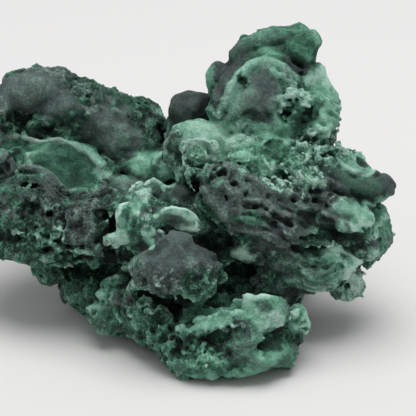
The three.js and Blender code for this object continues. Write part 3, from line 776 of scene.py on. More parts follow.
# painted shade: this slot painted dark
carve((38.8, -9.4, 21.2), (2.6, 1.6, 2), 0.12, 0.9, lean=-30, blend=0.5)
for k in range(4):
    strand([(37 + k, -8.4, 22.4 - 0.4 * k), (38.2 + k, -8.4, 20.6 - 0.4 * k)], 0.25, 0.28, 0.8, snap=0.1)
blob((31.8, -11.6, 20.6), (2.2, 1.6, 1.5), 0.86, 0.0, lean=5, blend=0.4)
blob((34, -11.4, 18.2), (3, 1.9, 1.8), 0.8, 0.05, lean=32, blend=0.6)
blob((32.6, -11.8, 18.2), (3.6, 2.2, 2.6), 0.76, 0.05, lean=15)
strand([(29.6, -12, 20), (31.6, -12.6, 21.4), (33.4, -12, 20.6), (35.6, -11.6, 19), (37.6, -10.8, 17.6)],
       0.4, 0.88, 0.0)
blob((33.2, -11, 22.2), (0.5, 0.5, 0.6), 0.9, 0.3, blend=0.2)
# painted shade: the small hole painted darker
carve((33, -13.6, 18), (0.8, 0.8, 0.9), 0.25, 0.5, blend=0.3)
for k, z in enumerate((19.4, 17.8, 16.2, 14.6, 13.2)):
    strand([(24 + 0.5 * k, -15, z + 1.6), (26.4, -15.4, z + 0.2), (29, -15, z - 0.6),
            (31.4, -13.8, z - 0.2)], 0.4, 0.36 + 0.1 * (k % 2), 0.35 + 0.25 * (k % 2), blend=0.6, snap=0.15)
line([(24.6, -15.4, 13.8), (27.4, -15.4, 13), (30, -14.8, 13.4)], 0.3, 0.7, 0.3)
# painted shade: this slit painted black, and the pits after it dark inside
carve((33.6, -12.4, 13.8), (0.9, 2.6, 1.9), 0.0, 0.2, lean=35, blend=0.3)
pits([(36, -11.6, 15.6), (35, -11.6, 12.6), (37.4, -10.6, 13.4), (36.2, -11.2, 17)], 0.5, tone=0.1,
     lip=0.25, lip_tone=0.6)
line([(33.4, -12, 11.4), (34.6, -11.8, 10.2), (36.6, -11, 11.4), (38.4, -9.8, 13)], 0.35, 0.65, 0.2)

paint((28.8, -10, 31), (3.4, 5, 2.6), 0.34, 0.95, lean=25)
paint((31, -12, 28.6), (1.6, 4, 1.4), 0.3, 0.8, lean=25, strength=0.8)
# painted shade: these pits painted black inside
pits(clay.slide([(28.2, -10, 31.4), (30.2, -10, 29.8), (26.8, -10, 30.2), (31.2, -10, 31.6)]), 0.55,
     tone=-0.05, lip=0.25, lip_tone=0.3, lip_grey=0.8)
mottles((35.4, -10, 26.6), (6, 6, 3.4), 16, 49, (0.8, 1.8), (0.45, 0.8, 0.35), (0.5, 0.1, 0.8))
# painted shade: under the tongue, darkened again over the mottles
paint((34.6, -12, 24.9), (5.4, 4, 1.5), 0.12, 0.3, lean=8, strength=0.8)
paint((32.4, -12, 27.4), (2.4, 3, 1.6), 0.34, 0.8, strength=0.6)
mottles((40, -4, 22), (5, 8, 8), 30, 50, (0.7, 1.8), (0.4, 0.85, 0.6), (0.8, 0.2, 0.2))
paint((31.6, -12, 20.4), (2.2, 3, 1.5), 0.84, -0.1, lean=10, strength=0.8)
paint((34.4, -11, 18.2), (3, 3, 1.4), 0.82, -0.1, lean=32, strength=0.7)

# ---- domes, disc, fin and crumbs
blob((4.2, 5.6, 37.4), (5.7, 4.4, 4.4), 0.76, 0.3, blend=0.6)
blob((8, 6, 37.6), (3.6, 3.6, 3.1), 0.86, 0.2, blend=1.0)
blob((13.6, 3.4, 36.2), (4.8, 3.8, 3.6), 0.72, 0.25, blend=0.6)
blob((13.4, -1.4, 36.2), (2.6, 1.8, 1.8), 0.7, 0.1, blend=0.5)
blob((4.8, -0.9, 36.9), (3.3, 1.5, 3.1), 0.7, 0.1, blend=0.3)
strand([(1.8, -1.4, 38.4), (2.8, -1, 39.9), (5, -0.9, 40.3), (7.2, -1, 39.4), (8.2, -1.6, 37.4),
        (8, -2.2, 35.8)], (0.35, 0.45, 0.5, 0.45, 0.45, 0.35), 0.85, 0.0, blend=0.25)
strand([(1.7, -1.6, 38.4), (1.4, -2, 36.8), (2.2, -2.4, 35), (4, -2.6, 34), (6, -2.8, 34.2),
        (7.6, -2.6, 35.2)], 0.45, 0.82, 0.05, blend=0.25)
strand([(3, -2.2, 37.6), (4.6, -2.6, 37.2), (6, -2.4, 38)], 0.3, 0.72, 0.0, blend=0.3)
# painted shade: these pits painted dark inside
pits([(6.6, -2.2, 37.6), (2.8, -2.4, 36)], 0.35, tone=0.2)
strand([(1, 1.8, 40.6), (-1, 3, 39.6), (-1.9, 3, 37.4), (-1.6, 2.2, 35), (-0.6, 1.6, 32.6),
        (0.4, 1.4, 30.6)], 0.5, 0.36, 0.9, blend=0.3)
# painted shade: the groove beside the fin and the hole under the disc painted dark
carve((0.4, 0.6, 36), (1.2, 1.8, 2.6), 0.2, 0.9, blend=0.4)
blob((1.3, 0.9, 32), (1.7, 1.6, 1.9), 0.5, -0.1, blend=0.5)
carve((4.6, -1.4, 32.2), (1.6, 1.6, 1.8), 0.02, 0.5, blend=0.4)
strand([(2.2, -3, 33.8), (3, -3.4, 31.6), (4.2, -3.6, 29.6)], 0.35, 0.6, 0.0, blend=0.3)
crumbs((19, -4, 36), (9, 5, 3), 40, 51, size=(0.2, 0.5), curl=0.9, tone=(0.3, 0.8), grey=0.1)
crumbs((21.6, -7.4, 34.4), (4, 3, 2), 44, 52, size=(0.2, 0.4), curl=0.8, tone=(0.6, 1.0))
crumbs((27, -8, 34.6), (2.6, 3, 3), 16, 55, size=(0.2, 0.4), curl=0.9, tone=(0.6, 1.0))
crumbs((28.5, 0, 38), (4, 6, 4.5), 64, 53, size=(0.25, 0.5), curl=1.1, tone=(0.35, 0.85), grey=0.2)
crumbs((12.4, -5, 36), (3, 4, 1.4), 30, 54, size=(0.2, 0.4), curl=0.7, tone=(0.3, 0.7), grey=-0.1)
for at in ((26, -9.6, 32.6), (20.5, -9.8, 33.2), (25.4, -7.6, 35)):
    blob(clay.snap(at, 0.2)[0], (0.55, 0.5, 0.5), 1.2, 0.0, blend=0.2)

# ---- the pinnacle
strand([(9.6, 5.6, 43.4), (10.6, 5, 46.6), (12, 6, 49.8), (13.6, 6.8, 52), (16, 9, 53.6), (19, 9.4, 53),
        (22, 8.8, 51.8), (24.4, 8.6, 50)], (0.6, 0.8, 0.9, 0.9, 0.8, 0.8, 0.9, 0.7), 0.62, 0.3, blend=0.8,
       snap=0.1)
strand([(19, 8.4, 51), (21.6, 8, 50.2), (24, 7.8, 48.6)], 0.8, 0.6, 0.15, blend=0.6, snap=0.2)
paint((17.6, 5.4, 48.4), (2.8, 3, 5), 0.4, 1.0, strength=0.9)
paint((14.6, 4.4, 46), (3, 3, 3), 0.56, 0.8, strength=0.7)
paint((11.4, 4.8, 47), (1.3, 3, 4.6), 0.66, 0.3, lean=8)
# painted shade: a small hole painted black, and the hollow below the shell darkened
carve((13.8, 5.6, 50.6), (0.9, 1.2, 1.0), 0.02, 0.3, blend=0.25)
paint((17, 4, 43.6), (3, 3, 1.4), 0.24, 0.7, strength=0.9)
for radius, seed in ((3.4, 61), (2.7, 62)):
    path = [(24.4 + radius * 1.1 * math.cos(a), 6.2 - 0.25 * abs(radius * math.sin(a)),
                 45 + radius * 0.95 * math.sin(a)) for a in np.radians(np.arange(20, 330, 30))]
    frill(path, 0.5, 0.78, 0.0, wave=1.6, swing=0.5, seed=seed, lift=0.4, blend=0.25)
# the ring's hollow inside: partly its own dark green, partly painted shade
paint((25.4, 7, 43), (3, 4, 2.2), 0.12, 0.1, soft=0.6)
for at, radii in (
    ((9.6, 13, 48.8), (1.7, 5, 3.2)), ((11.8, 13, 53), (2.4, 5, 2.4)),
):
    paint(at, radii, 0.26, 1.0)
crumbs((24.6, 7, 45), (2.6, 3, 2), 30, 63, size=(0.2, 0.4), curl=0.8, tone=(0.3, 0.85), grey=-0.1)
paint((26, 5, 42.2), (4, 3, 1.5), 0.12, 0.1, strength=0.65)
for k in range(5):
    strand([(28.4 + 0.7 * k, 8, 48 - 1.2 * k), (29.4 + 0.6 * k, 7, 45 - k),
            (29.6 + 0.6 * k, 6, 42 - 0.7 * k)], 0.5, 0.55, 0.25, snap=0.1)
blob((26, 13.4, 54.6), (3.4, 2.4, 3.2), 0.22, 0.05)
strand([(12, 12, 53.4), (15, 12.4, 55.4), (19, 13, 56.4), (22.5, 13.6, 57.4)], 0.8, 0.2, 0.4, blend=0.8,
       snap=0.1)
blob((19.5, 12, 54), (3, 2, 1.3), 0.5, 0.1, lean=15, blend=0.6)
strand([(22.6, 11.6, 52.8), (24.4, 11.2, 51.6), (26.2, 11, 50.8)], 0.6, 0.3, 0.9, blend=0.6, snap=0.1)

# ---- the back ridge
for at, radii, tone, grey in (
    ((-31, 17.5, 44), (6, 4, 3.6), 0.38, 1.0), ((-24.5, 17, 40.6), (4.5, 3.4, 3), 0.36, 1.0),
    ((-14.5, 16.4, 37.2), (4, 3.4, 3.4), 0.34, 1.0), ((-12.6, 14.4, 32.4), (4.6, 3, 5.6), 0.4, 1.0),
    ((-19.6, 17.2, 39.4), (4, 3, 2.6), 0.34, 1.0), ((-19.4, 19.5, 43), (3, 3, 2), 0.32, 0.8),
    ((-28.2, 13.6, 37.8), (2, 1.4, 1.2), 0.42, 0.0), ((-36, 16, 42), (3.4, 3, 3), 0.32, 1.0),
    ((2.8, 15.4, 40.6), (4.6, 4, 3.8), 0.2, 1.0),
):
    blob(at, radii, tone, grey, blend=1.6, soft=0.35)
for at, radii, tone, grey in (
    ((-30, 26, 36), (5, 3.4, 4.4), 0.34, 0.95), ((-20, 29.5, 28), (5.4, 2.6, 5), 0.5, 0.1),
    ((-8, 29, 26), (4.4, 2.6, 4), 0.34, 0.9), ((4, 28.6, 20), (5, 3, 5), 0.56, 0.1),
    ((16, 27, 24), (5, 3, 5), 0.36, 0.95), ((22, 22, 44), (4, 3, 5), 0.34, 0.9),
    ((28, 20, 30), (4, 4, 4.6), 0.6, 0.15), ((-32, 22, 24), (4, 4, 4), 0.6, 0.1),
    ((12, 22, 36), (4, 3, 3), 0.5, 0.2), ((30, 14, 20), (3.4, 4, 4.4), 0.34, 0.9),
):
    blob(clay.snap(at, -0.6 * min(radii))[0], radii, tone, grey, blend=1.4, soft=0.4)
knobs_on((-14, 19, 42), (8, 6, 3), 50, 71, size=(0.4, 0.9), tone=(0.15, 0.4), grey=0.2)
knobs_on((-28, 14.5, 38.4), (11, 4, 2), 40, 72, size=(0.4, 0.9), tone=(0.12, 0.36), grey=0.2)

mottles((0, 30, 18), (36, 9, 22), 130, 74, (1.2, 3.6), (0.16, 0.3, 0.58, 0.4), (0.3, 0.95, 0.15, 0.9))
mottles((10, 16, 20), (30, 14, 18), 110, 75, (1.0, 3.0), (0.14, 0.32, 0.62), (0.3, 0.9, 0.1))

# last touches of colour, laid over the mottles, several of them painted shade in hollows and under the arm:
# (place in front, radii, tone, grey, strength)
for at, radii, tone, grey, strength in (
    ((-18.2, 7, 32.6), (2.3, 2.6, 2.8), 0.58, 0.5, 0.65),  # the bowl's right wall
    ((-15.2, 6.6, 30.7), (1.8, 2, 2.2), 0.88, 0.2, 0.7),  # and its pale rim
    ((-30.4, -6, 19.1), (6.5, 4, 2.2), 0.05, 0.2, 0.5),  # the arm's underside, painted shade
    ((-5.1, -1, 28.3), (2.2, 1.7, 1.6), 0.36, 1.0, 0.95),  # the teeth
    ((0.8, -0.3, 28.1), (1.8, 1.6, 1.5), 0.36, 1.0, 0.9),
    ((-8.5, 3, 28.1), (1.7, 1.8, 1.4), 0.44, 0.9, 0.8),  # the lobe on their left
    ((-1.7, 3.4, 31.2), (1.8, 3, 2.6), 0.82, 0.1, 0.8),  # the pale saddle behind them
    ((-11.1, -12.4, 24.6), (2.3, 2.4, 1.8), 1.0, 0.0, 0.7),  # the curl's lower lobe
    ((-5.3, 14, 35), (2.4, 3, 3.4), 0.24, 0.3, 0.7),  # shade at the back ridge's right end
    ((-17.8, -5, 7.7), (2.6, 3, 2.3), 0.12, 0.2, 0.8),  # the flank's hollow, painted shade
    ((-27.2, -3, 11.2), (3.4, 4, 3.4), 0.15, 0.2, 0.5),  # and its shaded left edge
    ((-4.4, -22, 5.7), (2.5, 4, 2.4), 0.21, 0.2, 0.85),  # the gap beside its stalks, painted shade
    ((5.1, -24, 13.5), (2.4, 3, 1.4), 0.2, 0.2, 0.7),  # shade between the boulder and the foot
    ((8, -28, 12), (2.1, 2.4, 1.4), 0.48, 0.1, 0.6),  # the foot's upper frill
    ((14, -28, 11.9), (1.6, 2.3, 1.5), 0.2, 0.75, 0.9),  # painted shade in the notch beside the standing plate
    ((14.2, -29.6, 9.2), (2.4, 3, 1.8), 0.34, 0.5, 0.6),  # the slate under the needles
    ((17.5, -26, 11.1), (2.4, 2.4, 1.6), 0.58, 0.5, 0.6),  # the plate's own foot
    ((8.3, -15.5, 26.5), (2.7, 4, 2.4), 0.5, 0.4, 0.8),  # the green band beside the leaf
    ((8.5, -19, 21.9), (2.3, 3.4, 2.2), 0.19, 0.8, 0.8),  # painted shade in the hollow right of the boulder
    ((8.3, -9, 30.7), (2.2, 2.4, 1.8), 0.26, 0.9, 0.6),  # the grey crust's left end
    ((14.6, -14, 32.8), (2.5, 2.6, 1.4), 0.6, 0.7, 0.5),  # a lighter patch of it
    ((20.2, -14, 23.3), (3.2, 3, 2.4), 0.16, 0.9, 0.6),  # its dark lower edge
    ((16.2, -13, 18.4), (3.5, 3.2, 1.9), 0.53, 0.7, 0.75),  # the slate under the pale lens
    ((27.4, -13, 22), (2.5, 3, 1.8), 0.63, 0.32, 0.8),  # beside the pale lip
    ((30.4, -12, 18), (2.4, 3, 1.8), 0.36, 0.3, 0.5),  # and under it
    ((35.4, -11, 14.3), (3.4, 3, 2.1), 0.95, 0.4, 0.7),  # the pale knob at the lower right
    ((27.5, -8.8, 34.5), (2.2, 2.8, 1.9), 0.84, 0.03, 0.88),  # the pale crumbs at the crust's end
    ((27.4, -11, 31.5), (2.2, 2.4, 1.5), 0.5, 0.4, 0.6),  # the crust under them
    ((4.8, -0.6, 37), (3, 2.4, 2.8), 0.6, -0.4, 0.75),  # the disc's face
    ((-0.5, 2, 34.4), (1.7, 2.6, 4.2), 0.5, 0.5, 0.5),  # the left dome's edge
    ((1.4, 2, 31.5), (1.9, 2.6, 1.7), 0.72, 0.3, 0.7),  # and the pale ledge under it
    ((8.3, -0.4, 37.3), (1.8, 2.6, 1.9), 0.94, -0.15, 0.85),  # the dome's edge beside it
    ((11.5, 4, 39.4), (2.4, 3, 1.6), 0.95, 0.2, 0.7),  # the dome's top
    ((20.6, -0.4, 37.3), (3.5, 3, 1.8), 0.24, 0.1, 0.85),  # the crumbs' shaded bed
    ((28.8, 7, 44.2), (1.6, 3, 2.4), 0.22, 0.3, 0.8),  # painted shade in the hollow on the pinnacle's right flank
):
    paint(clay.slide(at)[0], radii, tone, grey, strength=strength)

# zones of one kind of surface
sponge = zone([
    ((-31, -3, 26), (8, 9, 6)), ((-31, -6, 20), (13, 8, 4.5)), ((36.5, -11, 13), (4.5, 4, 4.5)),
    ((14, -13, 33.5), (7, 4, 3), 35), ((25, -10, 32.5), (5, 4, 2.4), 20), ((-38, 8, 26), (8, 12, 10)),
    ((6, -29, 6), (8, 4, 4)), ((-8, 20, 40), (4, 8, 3)), ((-18, 21, 45), (8, 5, 1.4)),
    ((-30, 15, 38), (7, 5, 1.2)),
])
knobbly = zone([
    ((-12, -9, 8), (14, 13, 9), 20), ((4, -26, 6), (10, 8, 8)), ((-8, -11, 19), (5, 5, 4)),
    ((0, 30, 15), (26, 10, 18)), ((-15, 15, 10), (18, 12, 9)), ((20, 18, 12), (14, 14, 12)),
])
fibrous = zone([
    ((23, -13, 26), (9, 6, 6), 30), ((41, -4, 22), (6, 9, 8)), ((9, -10, 28), (5, 6, 6)),
    ((31, 8, 41), (4, 6, 7)),
])
smooth = zone([
    ((-22.8, 6, 31), (8, 5, 6)), ((-32, 10, 34.6), (8, 5, 2.6)), ((-22, 8.5, 35), (9, 3, 3)),
    ((15, 9, 49), (7, 8, 8)), ((6, 6, 38), (8, 7, 5)), ((37, -3, 33), (8, 7, 4)),
    ((0, -18, 23), (8, 6, 5.5)), ((18, -28, 5), (7, 6, 5)), ((22, 14, 55), (9, 7, 6)),
    ((-31, 17, 44), (8, 5, 4.4)), ((-24.5, 16, 40.6), (6, 4, 3.4)), ((-14.5, 15.6, 36.6), (6, 4, 4.4)),
    ((-13, 14.6, 33), (6, 4, 6)), ((2.5, 15, 40), (6, 6, 6)), ((35, -10, 27.5), (7, 6, 4)),
    ((-1.6, 0, 27.6), (5.5, 4, 3.4)), ((0.8, -13, 28), (5.5, 4, 3.6)), ((-9, -12, 27.5), (4, 4, 6)),
    ((-10.6, 5, 26), (4, 5, 3)), ((17.4, -25.6, 14), (5.4, 3.4, 4.4)), ((25, -22, 10), (2.6, 3, 3)),
    ((41, -4, 23), (5, 7, 7)), ((6, -30, 3.6), (8, 2.6, 3)), ((-6, 12, 30), (8, 6, 4)),
    ((14, -13, 20), (3.6, 3, 2)), ((-7, -5, 29), (3, 9, 4)), ((33, -11, 19), (5, 4, 3.6)),
    ((30.5, 6, 43), (3, 5, 6)), ((20.5, 4, 41), (5, 4, 2.6)), ((8.8, 14, 48), (4, 5, 5)),
    ((-2.4, 6, 31), (4, 5, 4)), ((-11, 5, 26.6), (5, 5, 3.4)), ((13, 14, 52), (4, 5, 5)),
    ((29, 12, 46.4), (5, 5, 5)), ((17, -1.6, 37.4), (6.5, 4.4, 2.6)), ((25.5, 6.4, 42), (4, 4, 2.6)),
    ((7, -26, 12.4), (8, 3, 1.8), -8), ((-14, 18, 40), (5, 6, 4)),
], soft=0.2)
ribbed = zone([
    ((26.5, -13, 17), (8, 5, 6)), ((17, -12.5, 30), (13, 6, 7), 25), ((-13, -10, 9), (11, 12, 8)),
    ((-22, 28, 30), (12, 6, 9)), ((12, 26, 24), (9, 7, 12)), ((24, 20, 44), (9, 7, 9)),
    ((-36, 10, 28), (5, 14, 9)), ((8, -25, 8), (12, 8, 8)),
])
knobbly *= 1 - 0.85 * smooth - 0.3 * ribbed * (1 - smooth)
sponge *= 1 - 0.85 * smooth - 0.3 * ribbed * (1 - smooth)
rough = 1 - 0.75 * np.maximum(smooth, 0.7 * ribbed)

# noise that shapes the surface
lumps = noise_tile(11, 5.5, spread=0.6)
knobs = noise_tile(13, 3.4, spread=0.5)
fine = noise_tile(12, 2.0, spread=0.7)
fibres = noise_tile(14, 1.6, spread=0.5, along=(1, 0.1, -0.55), stretch=5)
pores = noise_tile(15, 1.5, spread=0.5)

height = 0.26 * spread_tile(lumps) * (0.35 + 0.65 * rough)
height += knobbly * 0.34 * (0.8 - np.abs(spread_tile(knobs, 17)))
height += knobbly * 0.14 * (0.8 - np.abs(spread_tile(fine, 23)))
height += rough * 0.15 * spread_tile(knobs, 90)
height += rough * 0.11 * spread_tile(fine, 60)
height += rough * 0.05 * spread_tile(pores, 33)
height += fibrous * 0.12 * spread_tile(fibres)
clay.d -= height
field = spread_tile(fine, 41)
clay.d += sponge * 0.9 * smooth_step(0.9, 2.2, field) * smooth_step(-1.8, -0.2, clay.d)
clay.d += knobbly * 0.4 * smooth_step(1.1, 2.4, -field)
field = spread_tile(pores, 9)
clay.d += (0.1 * fibrous + 0.15 * knobbly + 0.2 * rough) * smooth_step(1.4, 2.6, field)
clay.d = np.maximum(clay.d, -clay.axes[2][None, None, :])  # it stands on the floor
del field, height
# ---------------------------------------------------------------- the mesh


def labelled(points, quads):
    """A number per vertex, shared by the vertices of one connected surface."""
    label = np.arange(len(points))
    sides = ([0, 1], [1, 2], [2, 3], [3, 0])
    ends = np.vstack([quads[:, side] for side in sides]).astype(np.int64)
    while True:
        low = np.minimum(label[ends[:, 0]], label[ends[:, 1]])
        before = label.copy()
        np.minimum.at(label, ends[:, 0], low)
        np.minimum.at(label, ends[:, 1], low)
        label = label[label]
        label = label[label]
        if np.array_equal(before, label):
            return label


def kept(points, quads, label, smallest):
    """The surfaces with at least that many vertices, renumbered."""
    keep = np.bincount(label, minlength=len(points))[label] >= smallest
    index = np.cumsum(keep) - 1
    return points[keep], index[quads[keep[quads[:, 0]]]]


def quads_of(field, low):
    grid = openvdb.FloatGrid(BAND)
    grid.transform = clay.transform
    grid.copyFromArray(np.ascontiguousarray(field, np.float32), ijk=tuple(int(v) for v in low))
    points, quads = grid.convertToQuads(isovalue=0.0)
    return points, quads[:, ::-1]


def drop_islands():
    """Clears everything that isn't joined to the largest surface."""
    points, quads = quads_of(clay.d, clay.low)
    label = labelled(points, quads)
    points, quads = kept(points, quads, label, np.bincount(label).max())
    solid = openvdb.FloatGrid.createLevelSetFromPolygons(
        points.astype(np.float32), quads=quads[:, ::-1].astype(np.uint32), transform=clay.transform,
        halfWidth=3)
    clean = np.empty(clay.d.shape, np.float32)
    solid.copyToArray(clean, ijk=tuple(int(v) for v in clay.low))
    clay.d = np.where(clean < 2 * VOXEL, clay.d, np.maximum(clay.d, clean))


def mesh_object(name, points, faces):
    mesh = bpy.data.meshes.new(name)
    sides = faces.shape[1]
    mesh.vertices.add(len(points))
    mesh.vertices.foreach_set("co", points.astype(np.float32).ravel())
    mesh.loops.add(faces.size)
    mesh.loops.foreach_set("vertex_index", faces.astype(np.int32).ravel())
    mesh.polygons.add(len(faces))
    mesh.polygons.foreach_set("loop_start", np.arange(0, faces.size, sides, dtype=np.int32))
    mesh.polygons.foreach_set("loop_total", np.full(len(faces), sides, np.int32))
    mesh.update(calc_edges=True)
    mesh.validate()
    made = bpy.data.objects.new(name, mesh)
    bpy.context.scene.collection.objects.link(made)
    return made


def vertices_of(made):
    points = np.empty(len(made.data.vertices) * 3, np.float32)
    made.data.vertices.foreach_get("co", points)
    return points.reshape(-1, 3) / MM


def thinned(made, triangles):
    """Collapses edges down to a number of triangles."""
    count = sum(len(p.vertices) - 2 for p in made.data.polygons)
    modifier = made.modifiers.new("thin", "DECIMATE")
    modifier.ratio = min(1.0, triangles / count)
    modifier.use_collapse_triangulate = True
    bpy.context.view_layer.objects.active = made
    with bpy.context.temp_override(object=made, active_object=made, selected_objects=[made]):
        bpy.ops.object.modifier_apply(modifier="thin")


def cell_mesh(name, low, high, triangles):
    """The part of the clay inside a box, closed. Past the box it dips under its neighbour and ends
    OVERLAP further on, so that the seam doesn't show."""
    low, high = np.array(low, float), np.array(high, float)
    cuts, x, y, z = clay.block(low - 2 * OVERLAP, high + 2 * OVERLAP)
    across, deep, tall = (np.minimum(p - low[i], high[i] - p) for i, p in enumerate((x, y, z)))
    inside = np.minimum(np.minimum(across, deep), tall)
    field = np.maximum(clay.d[cuts] + DIP * np.maximum(-inside, 0), -inside - OVERLAP)
    points, quads = quads_of(field, clay.low + [c.start for c in cuts])
    points, quads = kept(points, quads, labelled(points, quads), SMALLEST)
    made = mesh_object(name, points, quads)
    thinned(made, triangles)
    made.data.transform(Matrix.Scale(MM, 4))
    made.data.shade_smooth()
    return made


OVERLAP = 1.0  # how far a piece runs on under its neighbour
DIP = 0.15  # how steeply it sinks there
SMALLEST = 400  # vertices of the smallest bit kept on a piece
FAR = 60.0  # past the specimen on every side

drop_islands()
pieces = [
    cell_mesh("malachite_arm", (-FAR, -FAR, -5), (-9, 11, FAR * 2), MOST),
    cell_mesh("malachite_foot", (-9, -FAR, -5), (FAR, 0, 21), MOST),
    cell_mesh("malachite_crust", (-9, -FAR, 21), (FAR, 0, FAR * 2), MOST),
    cell_mesh("malachite_crown", (-9, 0, 26), (FAR, FAR, FAR * 2), MOST),
    cell_mesh("malachite_back", (-9, 0, -5), (FAR, FAR, 26), FEWER),
    cell_mesh("malachite_ridge", (-FAR, 11, -5), (-9, FAR, FAR * 2), FEWER),
]

# ---------------------------------------------------------------- colour masks

# painted light and shade: blurred distances from which crests and bulges are painted lighter and creases
# and hollows darker
edge_light_and_crease_shade_field = box_blur(np.clip(clay.d, -1.2, 1.2), 5)
bulge_light_and_hollow_shade_field = box_blur(np.clip(clay.d, -BAND, BAND), 15)


def coloured(piece):
    """Gives a piece the fields that its colour is worked out from."""
    points = vertices_of(piece)
    warp = np.column_stack([tile_at(lumps, points, s) for s in (3, 29, 71)]) * 0.5
    warp += np.column_stack([tile_at(fine, points, s) for s in (5, 37, 91)]) * 0.25
    moved = points + warp
    box_low, box_high = moved.min(0), moved.max(0)
    tone = 0.36 + 0.10 * tile_at(lumps, points, 50) + 0.05 * tile_at(knobs, points, 70)
    grey = 0.3 + 0.25 * tile_at(lumps, points, 80)
    for kind, at, radii, rotation, to_tone, to_grey, soft, strength in clay.paints:
        low = at.reshape(-1, 3).min(0) - 2 * radii.max() - 1
        high = at.reshape(-1, 3).max(0) + 2 * radii.max() + 1
        if (low > box_high).any() or (high < box_low).any():
            continue
        if kind == "blob":
            reach = radii.max() * (1 + soft)
            near = np.nonzero((np.abs(moved - at) < reach).all(1))[0]
            q = np.linalg.norm((moved[near] - at) @ rotation / radii, axis=1)
            weight = strength * (1 - smooth_step(1 - soft, 1 + soft, q))
        else:
            near = np.nonzero(((points > low) & (points < high)).all(1))[0]
            gap = strand_distance(*points[near].T, at, radii)
            weight = strength * (1 - smooth_step(-0.1, soft, gap))
        for values, target in ((tone, to_tone), (grey, to_grey)):
            if target is not None:
                values[near] += (target - values[near]) * weight
    # two of these fields are painted light and shade: lighter on crests and bulges, darker in creases and
    # hollows
    for name, values in (("tone", tone), ("grey", grey), ("edge_light_and_crease_shade", clay.at(points, edge_light_and_crease_shade_field)),
                         ("bulge_light_and_hollow_shade", clay.at(points, bulge_light_and_hollow_shade_field)), ("rough", clay.at(points, rough))):
        layer = piece.data.attributes.new(name, "FLOAT", "POINT")
        layer.data.foreach_set("value", values.astype(np.float32))


for piece in pieces:
    coloured(piece)

# ---------------------------------------------------------------- the material


def linear(r, g, b):
    """A linear colour from 0 to 255 display values."""
    parts = (v / 255 / 12.92 if v < 10.3 else ((v / 255 + 0.055) / 1.055) ** 2.4 for v in (r, g, b))
    return tuple(parts) + (1.0,)


def mineral():
    material = bpy.data.materials.new("mineral")
    material.use_nodes = True
    tree = material.node_tree
    shader = tree.nodes["Principled BSDF"]
    link = tree.links.new
    place = tree.nodes.new("ShaderNodeTexCoord").outputs["Object"]

    def read(name):
        made = tree.nodes.new("ShaderNodeAttribute")
        made.attribute_name = name
        return made.outputs["Fac"]

    def sum_of(operation, a, b=0.0, clamp=False):
        made = tree.nodes.new("ShaderNodeMath")
        made.operation = operation
        made.use_clamp = clamp
        for socket, value in zip(made.inputs, (a, b)):
            if isinstance(value, (int, float)):
                socket.default_value = value
            else:
                link(value, socket)
        return made.outputs[0]

    def add(a, b, clamp=False):
        return sum_of("ADD", a, b, clamp)

    def times(a, b, clamp=False):
        return sum_of("MULTIPLY", a, b, clamp)

    def noise(size, detail=3.0, roughness=0.6):
        made = tree.nodes.new("ShaderNodeTexNoise")
        made.inputs["Scale"].default_value = 1 / (size * MM)
        made.inputs["Detail"].default_value = detail
        made.inputs["Roughness"].default_value = roughness
        link(place, made.inputs["Vector"])
        return add(made.outputs["Fac"], -0.5)

    def ramp(value, stops):
        made = tree.nodes.new("ShaderNodeValToRGB")
        band = made.color_ramp
        while len(band.elements) < len(stops):
            band.elements.new(0.5)
        for element, (position, colour) in zip(band.elements, stops):
            element.position = position
            element.color = linear(*colour)
        link(value, made.inputs[0])
        return made.outputs[0]

    uneven = add(times(read("rough"), 0.8), 0.2)
    mottle, grain, dust = noise(2.2), noise(0.5, 4.0), noise(0.22, 2.0)
    # grain and mottling, with painted light and shade: lighter on crests, darker in creases
    grain_and_edge_light = add(add(times(grain, 1.2), times(dust, 1.0)),
                  add(times(mottle, 0.9), times(read("edge_light_and_crease_shade"), 0.42)))
    tone = add(read("tone"), times(grain_and_edge_light, uneven))
    # painted light and shade: lighter on broad bulges, darker in broad hollows
    tone = add(tone, times(read("bulge_light_and_hollow_shade"), 0.16), clamp=True)
    patchy = add(times(noise(1.4), 1.6), times(dust, 1.2))
    grey = add(read("grey"), times(patchy, uneven))
    grey = times(add(grey, -0.2), 1.6, clamp=True)
    green_colour = ramp(tone, GREENS)
    grey_colour = ramp(tone, GREYS)
    mix = tree.nodes.new("ShaderNodeMix")
    mix.data_type = "RGBA"
    link(grey, mix.inputs[0])
    link(green_colour, mix.inputs[6])
    link(grey_colour, mix.inputs[7])
    link(mix.outputs[2], shader.inputs["Base Color"])
    link(add(times(grain, 0.3), 0.75), shader.inputs["Roughness"])
    shader.inputs["Specular IOR Level"].default_value = 0.3
    bump = tree.nodes.new("ShaderNodeBump")
    bump.inputs["Strength"].default_value = 1.0
    bump.inputs["Distance"].default_value = 0.6 * MM
    link(times(add(grain, times(dust, 0.6)), uneven), bump.inputs["Height"])
    link(bump.outputs[0], shader.inputs["Normal"])
    return material


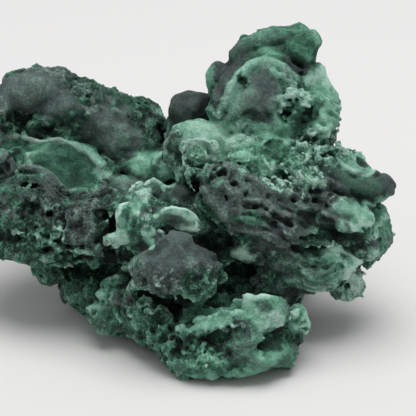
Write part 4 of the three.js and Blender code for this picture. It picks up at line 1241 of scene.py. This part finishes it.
# colour stops from dark to light: (tone, display colour)
GREENS = [(0.0, (18, 31, 26)), (0.2, (33, 64, 52)), (0.42, (61, 110, 88)), (0.68, (115, 171, 146)),
          (1.0, (188, 226, 209))]
GREYS = [(0.0, (22, 29, 29)), (0.22, (53, 64, 63)), (0.45, (84, 101, 97)), (0.7, (132, 156, 147)),
         (1.0, (196, 216, 206))]

look = mineral()
for piece in pieces:
    piece.data.materials.append(look)
    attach(piece, "root")
    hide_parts("malachite")

# ---------------------------------------------------------------- floor, light and camera

side = 2.0
floor_mesh = bpy.data.meshes.new("floor")
corners = [(-side, -side, 0), (side, -side, 0), (side, side, 0), (-side, side, 0)]
floor_mesh.from_pydata(corners, [], [(0, 1, 2, 3)])
floor = bpy.data.objects.new("floor", floor_mesh)
bpy.context.scene.collection.objects.link(floor)
paper = bpy.data.materials.new("paper")
paper.use_nodes = True
paper.node_tree.nodes["Principled BSDF"].inputs["Base Color"].default_value = linear(226, 225, 224)
paper.node_tree.nodes["Principled BSDF"].inputs["Roughness"].default_value = 0.9
floor_mesh.materials.append(paper)

world = bpy.data.worlds.new("studio")
bpy.context.scene.world = world
world.use_nodes = True
world.node_tree.nodes["Background"].inputs["Color"].default_value = (0.82, 0.82, 0.83, 1)
world.node_tree.nodes["Background"].inputs["Strength"].default_value = 0.52


def softbox(name, place, aim, size, power):
    data = bpy.data.lights.new(name, "AREA")
    data.shape = "DISK"
    data.size = size
    data.energy = power
    lamp = bpy.data.objects.new(name, data)
    lamp.location = place
    lamp.rotation_euler = (Vector(aim) - Vector(place)).to_track_quat("-Z", "Y").to_euler()
    bpy.context.scene.collection.objects.link(lamp)


softbox("overhead", (0.04, 0.05, 0.85), (0, 0.02, 0.0), 0.8, 6.1)

camera = bpy.data.objects.new("camera", bpy.data.cameras.new("camera"))
CAMERA_AT = Vector((6.6, -393.69, 200.09)) * MM
CAMERA_AIM = Vector((6.6, -10, 29.26)) * MM
camera.location = CAMERA_AT
camera.rotation_euler = (CAMERA_AIM - CAMERA_AT).to_track_quat("-Z", "Y").to_euler()
camera.data.sensor_width = 36
camera.data.lens = 181.7
camera.data.clip_start = 0.01
camera.data.clip_end = 20
bpy.context.scene.collection.objects.link(camera)
bpy.context.scene.camera = camera
bpy.context.scene.view_settings.view_transform = "Standard"
